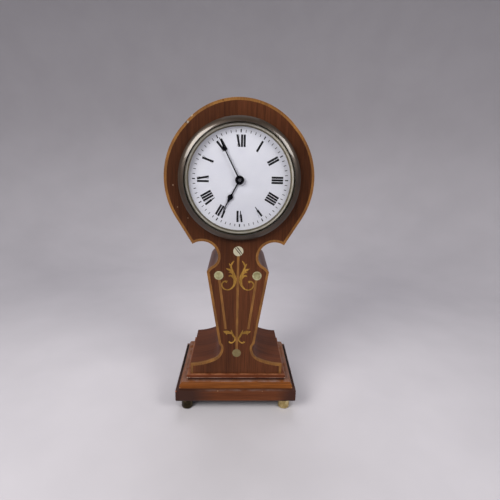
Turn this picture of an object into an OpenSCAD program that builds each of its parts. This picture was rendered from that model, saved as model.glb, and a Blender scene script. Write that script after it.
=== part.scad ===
// Balloon timepiece: inlaid mahogany case on a three-tier plinth, with a spring-driven movement.
// Millimetres, +Z up, the front faces -Y, and the origin is on the floor under the plinth's centre.

/* [Case outline] */
// Depth of the case from front to back
case_depth = 61.5; // [56:0.5:72]
// Radius of the round head
head_r = 55.3; // [53:0.1:60]
// Height of the head's centre above the neck's narrowest place
head_h = 59; // [57:0.5:68]
// Amount by which the arc at the head's top is tighter than the head
top_tight = 3.3; // [2.5:0.1:4]
// Height of that arc's centre above the head's centre
top_rise = 4.9; // [4.2:0.1:6]
// Slope of the straight skirt under the head, from upright
skirt_angle = 31; // [28:0.5:34]
// Half width of the neck at its narrowest place
neck_half = 15.6; // [14.4:0.2:17.4]
// Height of the neck's narrowest place
neck_h = 101.5; // [100:0.5:105]
// Radius of the notch above the neck's narrowest place
notch_top_r = 12.4; // [11:0.2:13.4]
// Radius of the notch below the neck's narrowest place
notch_low_r = 8.2; // [7.4:0.2:8.8]
// Half width across the shoulder corners
shoulder_half = 24.4; // [23.2:0.2:25.6]
// Height of the shoulder corners
shoulder_h = 89.5; // [87:0.5:91]
// Half width at the foot of the tapered waist
waist_half = 14.6; // [14.2:0.1:16]
// Height of the foot of the tapered waist
waist_h = 27; // [26:0.2:27.6]
// Half width of the scotia at its narrowest place
scotia_half = 12.8; // [11.6:0.2:13.2]
// Height of the scotia's narrowest place
scotia_h = 23.3; // [22:0.1:24]
// Radius of the scotia above its narrowest place
scotia_top_r = 5.2; // [4.6:0.2:7]
// Radius of the scotia below its narrowest place
scotia_low_r = 11; // [9:0.5:12]
// Half width of the flared foot of the case
flare_half = 38.1; // [35:0.5:41]
// Height of the upright ends of the flared foot
flare_h = 8.8; // [7.5:0.1:9.6]

/* [Front panel and inlay] */
// Thickness of the front panel and of the edge stringing
panel_t = 2; // [1.5:0.1:3]
// Width of the edge stringing
stringing_w = 2; // [1.4:0.1:2.6]
// Thickness of the inlaid lines, scrolls and roundels
inlay_t = 0.8; // [0.5:0.1:1.2]
// Width of the inlaid lines
line_w = 1.9; // [1.2:0.1:2.4]
// Radius of the pearl roundel on the neck
crown_pearl_r = 3.9; // [3:0.1:4.6]
// Height of that roundel's centre above the neck's narrowest place
crown_pearl_rise = 4.9; // [3:0.1:6]
// Radius of the two pearl roundels on the shoulders
side_pearl_r = 3.6; // [2.8:0.1:4.2]
// Distance of their centres from the middle
side_pearl_x = 15; // [13.5:0.1:16]
// Depth of their centres below the shoulder corners
side_pearl_drop = 2.9; // [2:0.1:4]
// Radius of the pearl roundel above the flared foot
foot_pearl_r = 3.6; // [2.8:0.1:4.2]
// Depth of its centre below the scotia's narrowest place
foot_pearl_drop = 4.3; // [3:0.1:6]
// Distance of the side lines' lower ends from the middle
side_line_x = 9.2; // [8.4:0.1:10]
// Height of the side lines' lower ends above the foot of the waist
side_line_rise = 13.6; // [13.4:0.1:18]

/* [Plinth] */
// Height of the turned feet
foot_h = 10; // [8:0.5:13]
// Radius of the turned feet
foot_r = 4.9; // [4:0.1:6]
// Distance of the feet's centres from the plinth's edges
foot_inset = 8.6; // [7:0.1:11]
// Overhang of the base slab beyond the flared foot at each side
base_side = 11.9; // [10:0.1:14]
// Overhang of the base slab beyond the case at the front and at the back
base_front = 8.6; // [8.2:0.1:12]
// Thickness of the base slab
base_h = 10.8; // [9:0.1:14]
// Rounding of the base slab's lower edge
base_round = 2.4; // [1:0.1:4]
// Width of the flat ledge round the moulding
ledge_w = 2.6; // [1:0.1:2.9]
// Height of the moulding's upright fillet
fillet_h = 0.8; // [0.4:0.1:1.4]
// Width of the moulding's ovolo
ovolo_w = 2.9; // [2.2:0.1:3.1]
// Height of the moulding's ovolo
ovolo_h = 4.8; // [4:0.1:6]
// Swell of the ovolo beyond a straight slope
ovolo_swell = 0.8; // [0.4:0.1:1.1]
// Height of the recess under the step's nosing
quirk_h = 2.4; // [1.6:0.1:3.2]
// Depth of the recess under the step's nosing
quirk_w = 1; // [0.4:0.1:1.6]
// Height of the step's nosing
nosing_h = 3; // [2.4:0.1:4]
// Rounding of the nosing's upper edge
nosing_round = 1.1; // [0.5:0.1:1.8]
// Overhang of the step beyond the flared foot at each side
step_side = 3.2; // [2.2:0.1:4.4]
// Overhang of the step beyond the case at the front and at the back
step_front = 2.2; // [1.8:0.1:2.6]

/* [Dial and bezel] */
// Radius of the dial that shows
dial_r = 38.4; // [37:0.1:40]
// Thickness of the dial
dial_t = 1.4; // [1:0.1:2]
// Depth of the dial's face behind the front of the case
dial_set = 0.6; // [0.3:0.1:1]
// Width of the sight ring
sight_w = 1.7; // [1.2:0.1:2.2]
// Width of the bezel
bezel_w = 4.2; // [3.6:0.1:5]
// Height of the bezel in front of the case
bezel_h = 6.3; // [5.8:0.1:7.5]
// Radius of the bezel's rounded slope
bezel_round = 8; // [6:0.5:12]
// Fall of that slope from the bezel's inner edge to its outer edge
bezel_fall = 2.4; // [1.6:0.1:2.8]
// Thickness of the glass at its edge
glass_t = 1.4; // [1:0.1:1.8]
// Rise of the convex glass
glass_rise = 2; // [1:0.1:3]
// Hour shown by the hands
shown_hour = 6; // [0:1:11]
// Minute shown by the hands
shown_minute = 55.5; // [0:0.5:59.5]
// Length of the minute hand
minute_hand_l = 33; // [28:0.5:36]
// Length of the hour hand
hour_hand_l = 25.5; // [20:0.5:28]
// Thickness of the hands
hand_t = 0.5; // [0.3:0.1:0.6]

/* [Drum and back door] */
// Thickness of the movement drum's wall
drum_wall = 1; // [0.8:0.1:1.4]
// Gap between the drum and its hole in the case
drum_gap = 0.3; // [0.1:0.1:0.6]
// Thickness of the back ring
ring_t = 1.6; // [1.2:0.1:2.2]
// Width of the back ring
ring_w = 7.5; // [6.5:0.1:8.5]
// Thickness of the back door
door_t = 1.2; // [1:0.1:1.6]
// Radius of the door's hinge knuckles
knuckle_r = 1.5; // [1.3:0.1:1.8]
// Length of the door's hinge
hinge_l = 16; // [12:0.5:20]

/* [Movement] */
// Depth of the front plate behind the front of the case
plate_d = 9; // [9:0.1:10]
// Thickness of the plates
plate_t = 1.6; // [1.2:0.1:2]
// Distance between the plates
plate_gap = 19.4; // [19.4:0.1:21]
// Radius of the back plate
back_plate_r = 31; // [30.5:0.1:33]
// Radius of the hand arbor
arbor_r = 1.2; // [1.1:0.05:1.3]
// Radius of the barrel arbor
barrel_arbor_r = 2; // [1.8:0.1:2.4]
// Width across the flats of the winding square
winding_square = 2.7; // [2.2:0.1:2.8]
// Length of the winding square
winding_l = 9.5; // [7:0.5:11]
// Radius of the wheels' pivots
pivot_r = 0.6; // [0.5:0.05:0.65]
// Running clearance round each pivot
running = 0.05; // [0.02:0.01:0.08]
// Tooth module of the barrel
barrel_mod = 0.42; // [0.4:0.01:0.43]
// Tooth module of the centre wheel
centre_mod = 0.3; // [0.29:0.01:0.31]
// Tooth module of the third wheel
third_mod = 0.25; // [0.25:0.01:0.26]
// Tooth module of the contrate wheel
contrate_mod = 0.275; // [0.27:0.005:0.285]
// Tooth module of the cannon pinion and the minute wheel
motion_mod = 0.4; // [0.38:0.01:0.42]
// Radius of the balance wheel
balance_r = 6.5; // [6:0.1:6.6]

/* [Hidden] */
$fn = 96;

mahogany = "#54301f";
mahogany_light = "#6b3d26";
boxwood = "#a9743a";
satinwood = "#a8823f";
pearl = "#c9cbb2";
brass = "#a2905e";
dark_brass = "#38302a";
steel = "#8d9094";
blued_steel = "#1b1c24";
enamel = "#e6e7ec";
silvered = "#b9b0a2";
clear = "#d8e4e8";

// Clearances shared by pieces that fit one another
seat = 0.02;
slip = 0.1;
loose = 0.3;

// Overlap of the outline's arcs and lines where one runs into the next
lap = 0.01;

// Length by which a cut runs past the face that it opens
over = 1;

// Heights of the plinth's tiers and of the case above the floor
base_z = foot_h;
moulding_z = base_z + base_h;
moulding_h = fillet_h + ovolo_h;
step_z = moulding_z + moulding_h;
step_h = quirk_h + nosing_h;
case_z = step_z + step_h;
head_z = case_z + neck_h + head_h;
front_y = -case_depth / 2;
back_y = case_depth / 2;

// Half sizes of the plinth's tiers
base_x = flare_half + base_side;
base_y = case_depth / 2 + base_front;
step_x = flare_half + step_side;
step_y = case_depth / 2 + step_front;

// Outline of the case: centres of its arcs
shoulder_turn = 60;
scotia_turn = 65;
flare_past = 10;
shoulder_corner = [shoulder_half, shoulder_h];
notch_top_c = [neck_half + notch_top_r, neck_h];
notch_low_c = [neck_half + notch_low_r, neck_h];
shoulder_gap = notch_low_c - shoulder_corner;
shoulder_reach = shoulder_gap * dir(shoulder_turn);
shoulder_r = (2 * notch_low_r * shoulder_reach - shoulder_gap * shoulder_gap - notch_low_r * notch_low_r)
    / (2 * (notch_low_r - shoulder_reach));
shoulder_c = notch_low_c - (notch_low_r + shoulder_r) * dir(shoulder_turn);
scotia_top_c = [scotia_half + scotia_top_r, scotia_h];
scotia_low_c = [scotia_half + scotia_low_r, scotia_h];
scotia_join = scotia_low_c - scotia_low_r * dir(scotia_turn);
flare_gap = scotia_join - [flare_half, flare_h];
flare_r = -(flare_gap * flare_gap) / (2 * (flare_gap * dir(scotia_turn)));
flare_c = scotia_join + flare_r * dir(scotia_turn);
taper = (shoulder_half - waist_half) / (shoulder_h - waist_h);

// Radii of the drum, bezel and door
drum_in = dial_r + sight_w + slip;
drum_r = drum_in + drum_wall;
bore_r = drum_r + drum_gap;
bezel_in = drum_in + slip;
bezel_out = bezel_in + bezel_w;
glass_r = bezel_in + bezel_w / 3;
flange_t = 1;
flange_r = bezel_out - bezel_w / 3;
bezel_d = -(bezel_h - bezel_w / 2);
bezel_tilt = atan2(bezel_fall, bezel_w) - asin(norm([bezel_w, bezel_fall]) / 2 / bezel_round);
bezel_c = [bezel_in - bezel_round * sin(bezel_tilt), bezel_round * cos(bezel_tilt) - bezel_h];
sight_edge = 0.3;
sight_lip = 0.8;
ring_in = drum_in - drum_wall;
ring_out = ring_in + ring_w;
ring_screw_r = (bore_r + ring_out) / 2;
ring_screw_angles = [90, 210, 330];
ring_screw_l = 6;
ring_show = 3.6;
door_r = ring_out - ring_show;
door_d = case_depth + ring_t + slip;
door_bead_in = 4;
door_bead_w = 1.4;
door_bead_h = 0.5;
door_leaf_l = 3;
hinge_x = door_r + knuckle_r + loose;
hinge_y = back_y + ring_t + knuckle_r + loose;
hinge_pin_r = knuckle_r / 2;
hinge_share = 0.4;
door_knob_r = 1.6;
door_knob_h = 3.6;
door_knob_in = 6;
door_knob_at = [door_knob_in - door_r, 0];
knob_tenon_r = 1;
knob_neck_r = 0.9;

// Depths of the movement's planes behind the front of the case
between_d = plate_d + plate_t;
back_plate_d = between_d + plate_gap;
behind_d = back_plate_d + plate_t;
dial_back_d = dial_set + dial_t;

// Hands and motion work
hand_boss_r = 3.3;
hand_stem_w = 1;
minute_tip_l = 8;
hour_tip_l = 11.2;
minute_pear_at = minute_hand_l - minute_tip_l;
minute_pear_r = 1.1;
hour_pear_at = hour_hand_l - hour_tip_l;
hour_pear_r = 2;
collet_r = 3;
collet_bevel = 0.4;
arbor_pin_l = 0.5;
hour_hand_d = -0.6;
minute_hand_d = -1.7;
collet_d = -2.4;
pipe_wall = 0.65;
cannon_pipe_r = arbor_r + seat + pipe_wall;
hour_pipe_in = cannon_pipe_r + running;
hour_pipe_r = hour_pipe_in + pipe_wall;
minute_angle = 6 * shown_minute;
hour_angle = 30 * (shown_hour + shown_minute / 60);
cannon_leaves = 12;
minute_teeth = 36;
minute_leaves = 10;
hour_teeth = 40;
motion_span = motion_mod * (cannon_leaves + minute_teeth) / 2;
hour_mod = 2 * motion_span / (minute_leaves + hour_teeth);
minute_dir = 300;
minute_at = motion_span * dir(minute_dir);
motion_t = 1;
hour_wheel_d = dial_back_d + 1.2;
minute_wheel_d = plate_d - 3;
stud_r = 0.8;
set_l = 9;
set_boss_l = 6;
set_boss_w = 1.4;
set_grip_l = 3;
set_grip_w = 2.8;
set_grip_d = behind_d + set_l - set_boss_l + 2;
set_groove_r = 0.35;

// Going train
barrel_teeth = 72;
centre_leaves = 10;
centre_teeth = 64;
third_leaves = 8;
third_teeth = 60;
contrate_leaves = 8;
contrate_teeth = 48;
escape_leaves = 7;
escape_teeth = 15;
barrel_dir = 226;
third_dir = 38;
contrate_dir = 152;
barrel_at = barrel_mod * (barrel_teeth + centre_leaves) / 2 * dir(barrel_dir);
third_at = centre_mod * (centre_teeth + third_leaves) / 2 * dir(third_dir);
contrate_at = third_at + third_mod * (third_teeth + contrate_leaves) / 2 * dir(contrate_dir);
wheel_t = 1;
centre_pipe_wall = 0.4;
third_arbor_r = 0.85;
contrate_arbor_r = 0.7;
barrel_d = between_d + 1.4;
barrel_rim_t = 1.6;
barrel_end_d = barrel_d + 13;
barrel_wall = 0.7;
barrel_out = barrel_mod * barrel_teeth / 2 - 1.7;
cover_t = 0.8;
core_r = barrel_arbor_r + 1.6;
mainspring_turns = 7;
mainspring_t = 0.4;
centre_wheel_d = barrel_end_d + 1.2;
third_wheel_d = between_d + 7.4;
contrate_d = between_d + 11.4;
contrate_web = 0.9;
crown_h = 1.1;
crown_w = 1;
crown_tooth_share = 0.18;
contrate_r = contrate_mod * contrate_teeth / 2;
contrate_top = contrate_at.y + contrate_r;

// Length by which a pinion's leaves run past the wheel that they drive
leaf_past = 0.6;

// Tooth shape: heights in modules, half widths as shares of the pitch
tooth_root = 1;
wheel_tip = 0.75;
wheel_root_w = 0.27;
wheel_tip_w = 0.1;
leaf_tip = 0.55;
leaf_root_w = 0.2;
leaf_tip_w = 0.14;

// Platform escapement: heights above the dial's centre, places as [x, depth]
escape_at = [contrate_at.x, contrate_d + contrate_web + crown_h - 0.2 + contrate_mod * escape_leaves / 2];
lever_at = escape_at + [-3.4, -3.6];
balance_at = lever_at + [-3.6, -3.5];
platform_h = contrate_top + 3.3;
platform_t = 2;
deck_h = platform_h + platform_t;
platform_past = 7.6;
platform_x = [balance_at.x - balance_r - 0.7, escape_at.x + platform_past];
fine_pivot_r = 0.3;
staff_r = 0.5;
escape_wheel_h = deck_h + 1.2;
escape_r = 4;
escape_t = 0.5;
escape_tooth_h = 1;
arm_h = contrate_top - 3.6;
arm_t = 1.2;
arm_w = 2.4;
hanger_d = 2.3;
hanger_t = 1.5;
bridge_h = deck_h + 3.4;
bridge_t = 0.9;
bridge_half = 1.3;
bridge_foot_at = escape_at + [escape_r + 1.6, 0];
balance_h = bridge_h + bridge_t + 0.7;
balance_t = 0.8;
balance_rim_w = 0.7;
balance_arm_w = 0.8;
balance_hub_r = 1.1;
hairspring_h = balance_h + balance_t + 0.8;
hairspring_w = 0.4;
hairspring_r = 3.7;
hairspring_turns = 6;
hairspring_t = 0.16;
cock_h = hairspring_h + hairspring_w + 0.6;
cock_t = 1.2;
cock_gap = 1.2;
cock_half = 2;
cock_foot_half = 2.3;
stud_pin_r = 0.3;
regulator_t = 0.5;
regulator_ring_w = 0.9;
regulator_l = 7;
regulator_w = 1.4;
regulator_tip_w = 0.5;
boss_r = 1.5;

// Pillars, screws and lugs
pillar_angles = [130, 182, 275, 50];
pillar_r = 1.9;
pillar_place_in = 3;
pillar_place_r = back_plate_r - pillar_place_in;
pillar_waist_r = 3.5;
pillar_waist_in = 0.5;
pillar_screw_l = 4;
screw_r = 0.9;
screw_slot_w = 0.35;
screw_head_r = 1.7;
screw_head_t = 0.8;
lug_angles = [0, 120, 240];
lug_l = 3.4;
lug_w = 6;
lug_depth = 4.2;
lug_screw_r = drum_in - lug_depth / 2;
dial_foot_angles = [30, 150, 270];
dial_foot_r = 0.9;
dial_foot_place_r = 30;
platform_screw_x = [-9, 6];

// Ratchet and click, on the back of the back plate
ratchet_d = behind_d + loose;
ratchet_t = 1.2;
ratchet_teeth = 24;
ratchet_tip = 5;
ratchet_root = 4.3;
ratchet_lean = 0.94;
ratchet_phase = 2.5;
click_nose_dir = 60;
click_pivot_at = barrel_at + 8.2 * dir(click_nose_dir - 50);
click_nose_at = barrel_at + (ratchet_root + 0.25) * dir(click_nose_dir);
click_r = 1.6;
click_spring_foot = barrel_at + [8.4, 9.6];

// Feet, screws under the plinth
foot_collar_h = 1;
foot_low_round = 1.7;
foot_top_round = 2.2;
tenon_r = 2;
tenon_l = 5;
foot_x = base_x - foot_inset;
foot_y = base_y - foot_inset;
plinth_screw_x = 20;
plinth_screw_r = 1.8;
plinth_screw_head_r = 3.6;
plinth_screw_head_t = 2;
plinth_screw_bite = 7;
plinth_sink = 1;
plinth_slot_w = 1;

function dir(a) = [cos(a), sin(a)];

// Points of the right half, bottom to top, joined to their mirror images
function both(p) = concat(p, [for (i = [len(p) - 1:-1:0]) [-p[i].x, p[i].y]]);

// Half width of the tapered waist at a height, drawn in by an inset
function waist_x(h, inset) = waist_half + taper * (h - waist_h) - inset * sqrt(1 + taper * taper);

// Smooth curve through points [x, height, half width], with steps between each two
function curve_at(a, b, c, d, t) =
    0.5 * (2 * b + (c - a) * t + (2 * a - 5 * b + 4 * c - d) * t * t + (3 * b - a - 3 * c + d) * t * t * t);
function smooth(p, steps) = concat(
    [for (i = [0:len(p) - 2]) for (k = [0:steps - 1])
        curve_at(p[max(i - 1, 0)], p[i], p[i + 1], p[min(i + 2, len(p) - 1)], k / steps)],
    [p[len(p) - 1]]);
function flat(p) = [p.x, p.y];
function across(p, i) =
    let (run = flat(p[min(i + 1, len(p) - 1)] - p[max(i - 1, 0)]))
    [-run.y, run.x] / norm(run);

// Ribbon along a smooth curve, as wide as its points say
module ribbon(points, steps = 5) {
    p = smooth(points, steps);
    n = len(p) - 1;
    right = [for (i = [0:n]) flat(p[i]) - p[i].z * across(p, i)];
    left = [for (i = [n:-1:0]) flat(p[i]) + p[i].z * across(p, i)];
    polygon(concat(right, left));
}

// Slice of a disc between two directions
module sector(centre, r, from, to) {
    intersection() {
        translate(centre) circle(r);
        polygon([for (a = [from, (from + to) / 2, to]) centre + 2 * r * dir(a), centre]);
    }
}

// Shape cut out on both sides
module both_sides() {
    children();
    mirror([1, 0, 0]) children();
}

// Front outline of the case, drawn in from its edge by an inset
module case_outline(inset = 0) {
    head_c = [0, neck_h + head_h];
    top_c = head_c + [0, top_rise];
    top_r = head_r - top_tight;
    top_turn = asin(top_tight / top_rise);
    tangent = head_c + (head_r - inset - lap) * dir(-skirt_angle);
    skirt_x = tangent.x - tan(skirt_angle) * (tangent.y - neck_h);
    flare_x = flare_half - inset;
    flare_angle = -acos((flare_x - flare_c.x) / (flare_r + inset));
    flare_top = flare_c.y + (flare_r + inset) * sin(flare_angle);
    notch_end = notch_low_c - (notch_low_r + inset) * dir(shoulder_turn);
    // Head and skirt, down to the neck
    difference() {
        union() {
            translate(head_c) circle(head_r - inset);
            translate(top_c) circle(top_r - inset);
            polygon(both([head_c + (head_r - inset - lap) * dir(top_turn),
                top_c + (top_r - inset - lap) * dir(top_turn)]));
            polygon(both([[skirt_x, neck_h], tangent]));
        }
        both_sides() translate(notch_top_c) circle(notch_top_r + inset);
    }
    // Neck and shoulders
    difference() {
        polygon(both([shoulder_c, notch_end, [neck_half - inset, neck_h]]));
        both_sides() translate(notch_low_c) circle(notch_low_r + inset);
    }
    both_sides() intersection() {
        translate(shoulder_c) circle(shoulder_r - inset + lap);
        polygon([for (h = [shoulder_c.y, neck_h]) [waist_x(h, inset), h],
            [0, neck_h], [0, shoulder_c.y]]);
    }
    // Tapered waist
    difference() {
        polygon(both([for (h = [scotia_h, shoulder_c.y]) [waist_x(h, inset), h]]));
        both_sides() translate(scotia_top_c) circle(scotia_top_r + inset);
    }
    // Scotia and flared foot
    difference() {
        polygon(both([[flare_x, 0], [flare_x, flare_top + over], scotia_low_c]));
        both_sides() {
            translate(scotia_low_c) circle(scotia_low_r + inset);
            sector(flare_c, flare_r + inset - lap, 180 + scotia_turn, 360 + flare_past + flare_angle);
        }
    }
}

// Flat shape seen from the front, given a depth behind the front of the case
module deep(from, to, height = 0) {
    translate([0, front_y + to, height]) rotate([90, 0, 0]) linear_extrude(to - from) children();
}

// The same, placed from the centre of the dial
module on_dial(from, to, at = [0, 0]) {
    translate([at.x, 0, at.y]) deep(from, to, head_z) children();
}

// Turned shape on an axis from front to back, drawn as [radius, depth]
module turned(at = [0, 0]) {
    translate([at.x, front_y, head_z + at.y]) rotate([-90, 0, 0]) rotate_extrude() children();
}

// Plain rod, or rod with a hole, on an axis from front to back
module rod(r, from, to, at = [0, 0], hole = 0) {
    on_dial(from, to, at) ring(r, hole);
}

module ring(r, hole = 0) {
    difference() {
        circle(r);
        if (hole > 0) circle(hole);
    }
}

// Flat shape seen from above on the platform, at a height above the dial's centre
module level(from, to, at = [0, 0]) {
    translate([at.x, front_y + at.y, head_z + from]) linear_extrude(to - from) children();
}

// Slab whose edge has one profile on all four sides, drawn for a half width of 0 at its edge
module moulded_slab(half_x, half_y, z, height) {
    intersection() {
        translate([0, half_y, z]) rotate([90, 0, 0]) linear_extrude(2 * half_y)
            slab_side(half_x, height) children();
        translate([-half_x, 0, z]) rotate([90, 0, 90]) linear_extrude(2 * half_x)
            slab_side(half_y, height) children();
    }
}

module slab_side(half, height) {
    difference() {
        translate([-half, 0]) square([2 * half, height]);
        both_sides() translate([half, 0]) children();
    }
}

// Toothed outline with straight-sided teeth: wheels have pointed teeth and pinions have leaves
module toothed(teeth, mod, phase, leaf = false) {
    pitch_r = mod * teeth / 2;
    tip_r = pitch_r + mod * (leaf ? leaf_tip : wheel_tip);
    root_r = pitch_r - mod * tooth_root;
    root_w = leaf ? leaf_root_w : wheel_root_w;
    tip_w = leaf ? leaf_tip_w : wheel_tip_w;
    tooth = [[-root_w, root_r], [-tip_w, tip_r], [tip_w, tip_r], [root_w, root_r]];
    polygon([for (i = [0:teeth - 1]) for (p = tooth) p[1] * dir(phase + 360 / teeth * (i + p[0]))]);
}

// Round holes that lighten a wheel
module crossings(r, count = 5) {
    for (i = [0:count - 1]) rotate(360 / count * i) translate([0.57 * r, 0]) circle(0.24 * r);
}

// Flat spiral strip
module spiral(r_in, r_out, turns, thick, steps = 20) {
    n = turns * steps;
    pitch = (r_out - r_in) / n;
    out_side = [for (i = [0:n]) (r_in + pitch * i + thick / 2) * dir(360 * i / steps)];
    in_side = [for (i = [n:-1:0]) (r_in + pitch * i - thick / 2) * dir(360 * i / steps)];
    polygon(concat(out_side, in_side));
}

// Screw with a slotted head on an axis from front to back; side 1 puts the head at the deep end
module plate_screw(at, from, to, side) {
    head_from = side > 0 ? to : from - screw_head_t;
    rod(screw_r, from, to, at);
    difference() {
        rod(screw_head_r, head_from, head_from + screw_head_t, at);
        on_dial(side > 0 ? to + screw_head_t / 2 : from - 2 * screw_head_t,
            side > 0 ? to + 2 * screw_head_t : from - screw_head_t / 2, at)
            square([3 * screw_head_r, screw_slot_w], center = true);
    }
}

// Inlay: lines, scrolls and roundels, as flat shapes on the front panel
module centre_line_shape() {
    low = scotia_h - foot_pearl_drop;
    high = neck_h + crown_pearl_rise;
    difference() {
        translate([-line_w / 2, low]) square([line_w, high - low]);
        pearl_shapes();
    }
}

module side_line_shapes() {
    high = shoulder_h - side_pearl_drop;
    low = waist_h + side_line_rise;
    difference() {
        both_sides() ribbon([[side_line_x, low, line_w / 2], [side_pearl_x, high, line_w / 2]], 1);
        pearl_shapes();
    }
}

module pearl_shapes() {
    translate([0, neck_h + crown_pearl_rise]) circle(crown_pearl_r);
    both_sides() translate([side_pearl_x, shoulder_h - side_pearl_drop]) circle(side_pearl_r);
    translate([0, scotia_h - foot_pearl_drop]) circle(foot_pearl_r);
}

// Upper pair: an upright leaf of five lobes on a stem that curls out and back
module upper_scroll_shapes() {
    difference() {
        both_sides() translate([line_w / 2, shoulder_h]) {
            ribbon([[2.1, 9.2, 0.15], [3.5, 7.4, 0.6], [4.5, 4.9, 0.65], [3.8, 2, 0.75], [2.5, -1.8, 1.15],
                [1.4, -5, 1.3], [1.3, -8, 1.15], [2.2, -11.2, 0.8], [4.6, -14, 0.55], [7.5, -14.8, 0.45],
                [10.2, -13.7, 0.5], [11.6, -11.2, 0.55], [11.2, -9, 0.55], [9.6, -7.7, 0.6],
                [7.4, -8.2, 1.1]]);
            ribbon([[4.4, 3.9, 0.4], [5.1, 5.5, 0.6], [6, 7, 0.15]], 4);
            ribbon([[3.1, -0.5, 0.6], [5.4, 1.5, 0.95], [8.3, 2.9, 0.15]], 4);
            ribbon([[2.6, -1.8, 0.5], [4.3, -0.4, 0.65], [6.3, -0.3, 0.15]], 4);
            ribbon([[1.7, -6.2, 0.6], [3, -4.1, 0.7], [4.6, -2.9, 0.7], [6.3, -3.4, 0.4]], 4);
        }
        centre_line_shape();
        side_line_shapes();
    }
}

// Lower pair: a leaf that points outward on a stem that curls in under it
module lower_scroll_shapes() {
    difference() {
        both_sides() translate([line_w / 2, waist_h]) {
            ribbon([[3.8, 13.1, 0.15], [3.3, 10.7, 0.75], [2.1, 8.2, 0.75], [0.5, 5.6, 0.7], [0.6, 3.8, 0.6],
                [1.9, 2.1, 0.5], [3.4, 1.3, 0.6], [4.7, 1.6, 0.65], [5.4, 2.6, 0.75]]);
            ribbon([[2.9, 9.6, 0.6], [4.5, 10.3, 0.9], [6.6, 10.8, 1.4], [8.5, 11.1, 1.2],
                [10.3, 11.9, 0.15]], 4);
            ribbon([[7.2, 10.1, 0.7], [7.7, 8.5, 0.15]], 1);
        }
        centre_line_shape();
    }
}

module inlay(from, to) {
    deep(from, to, case_z) children();
}

// Case
module case_carcass() {
    color(mahogany) difference() {
        deep(panel_t, case_depth, case_z) case_outline();
        rod(bore_r, 0, case_depth + over);
        for (a = ring_screw_angles)
            rod(screw_r + seat, case_depth - ring_screw_l - seat, case_depth + over, ring_screw_r * dir(a));
        for (side = [-1, 1])
            translate([side * plinth_screw_x, 0, case_z - over])
                cylinder(r = plinth_screw_r + seat, h = plinth_screw_bite + over + seat);
    }
}

module front_panel() {
    color(mahogany_light) difference() {
        deep(0, panel_t, case_z) case_outline(stringing_w);
        rod(bore_r, -over, panel_t + over);
        inlay(-over, inlay_t) {
            pearl_shapes();
            centre_line_shape();
            side_line_shapes();
            upper_scroll_shapes();
            lower_scroll_shapes();
        }
    }
}

module edge_stringing() {
    color(boxwood) deep(0, panel_t, case_z) difference() {
        case_outline();
        case_outline(stringing_w);
    }
}

module centre_line() {
    color(boxwood) inlay(0, inlay_t) centre_line_shape();
}

module side_lines() {
    color(boxwood) inlay(0, inlay_t) side_line_shapes();
}

module upper_scrolls() {
    color(satinwood) inlay(0, inlay_t) upper_scroll_shapes();
}

module lower_scrolls() {
    color(satinwood) inlay(0, inlay_t) lower_scroll_shapes();
}

module pearl_roundels() {
    color(pearl) inlay(0, inlay_t) pearl_shapes();
}

// Plinth
module plinth_holes(from, to) {
    for (side = [-1, 1])
        translate([side * plinth_screw_x, 0, from]) cylinder(r = plinth_screw_r + slip, h = to - from);
}

module plinth_step() {
    color(mahogany_light) difference() {
        moulded_slab(step_x, step_y, step_z, step_h) {
            translate([-quirk_w, -over]) square([quirk_w + over, quirk_h + over]);
            difference() {
                translate([-nosing_round, step_h - nosing_round]) square(nosing_round + over);
                translate([-nosing_round, step_h - nosing_round]) circle(nosing_round);
            }
        }
        plinth_holes(step_z - over, case_z + over);
    }
}

module plinth_moulding() {
    half_chord = norm([ovolo_w, ovolo_h]) / 2;
    swell_r = (half_chord * half_chord + ovolo_swell * ovolo_swell) / (2 * ovolo_swell);
    middle = [-ovolo_w / 2, fillet_h + ovolo_h / 2];
    inward = [-ovolo_h, -ovolo_w] / (2 * half_chord);
    color(mahogany_light) difference() {
        moulded_slab(base_x - ledge_w, base_y - ledge_w, moulding_z, moulding_h) difference() {
            polygon([[-ovolo_w, moulding_h], [0, fillet_h], [over, fillet_h], [over, moulding_h + over],
                [-ovolo_w, moulding_h + over]]);
            translate(middle + (swell_r - ovolo_swell) * inward) circle(swell_r);
        }
        plinth_holes(moulding_z - over, step_z + over);
    }
}

module plinth_base() {
    color(mahogany) difference() {
        moulded_slab(base_x, base_y, base_z, base_h) difference() {
            translate([-base_round, -over]) square(base_round + over);
            translate([-base_round, base_round]) circle(base_round);
        }
        plinth_holes(base_z - over, moulding_z + over);
        for (side = [-1, 1])
            translate([side * plinth_screw_x, 0, base_z - over])
                cylinder(r = plinth_screw_head_r + slip, h = plinth_screw_head_t + plinth_sink + over);
        for (x = [-foot_x, foot_x]) for (y = [-foot_y, foot_y])
            translate([x, y, base_z - over]) cylinder(r = tenon_r + seat, h = tenon_l + over + seat);
    }
}

// Turned bun foot with a tenon into the base slab
module turned_foot(x, y) {
    bun_h = foot_h - foot_collar_h;
    translate([x, y, 0]) rotate_extrude() {
        square([foot_r - foot_low_round, bun_h]);
        translate([0, foot_low_round]) square([foot_r, bun_h - foot_low_round - foot_top_round]);
        square([foot_r - foot_top_round, bun_h]);
        translate([foot_r - foot_low_round, foot_low_round]) circle(foot_low_round);
        translate([foot_r - foot_top_round, bun_h - foot_top_round]) circle(foot_top_round);
        translate([0, bun_h]) square([foot_r - foot_top_round, foot_collar_h]);
        translate([0, bun_h]) square([tenon_r, tenon_l + foot_collar_h]);
    }
}

module foot_front_left() {
    color(dark_brass) turned_foot(-foot_x, -foot_y);
}

module foot_front_right() {
    color(brass) turned_foot(foot_x, -foot_y);
}

module foot_back_left() {
    color(brass) turned_foot(-foot_x, foot_y);
}

module foot_back_right() {
    color(brass) turned_foot(foot_x, foot_y);
}

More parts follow.
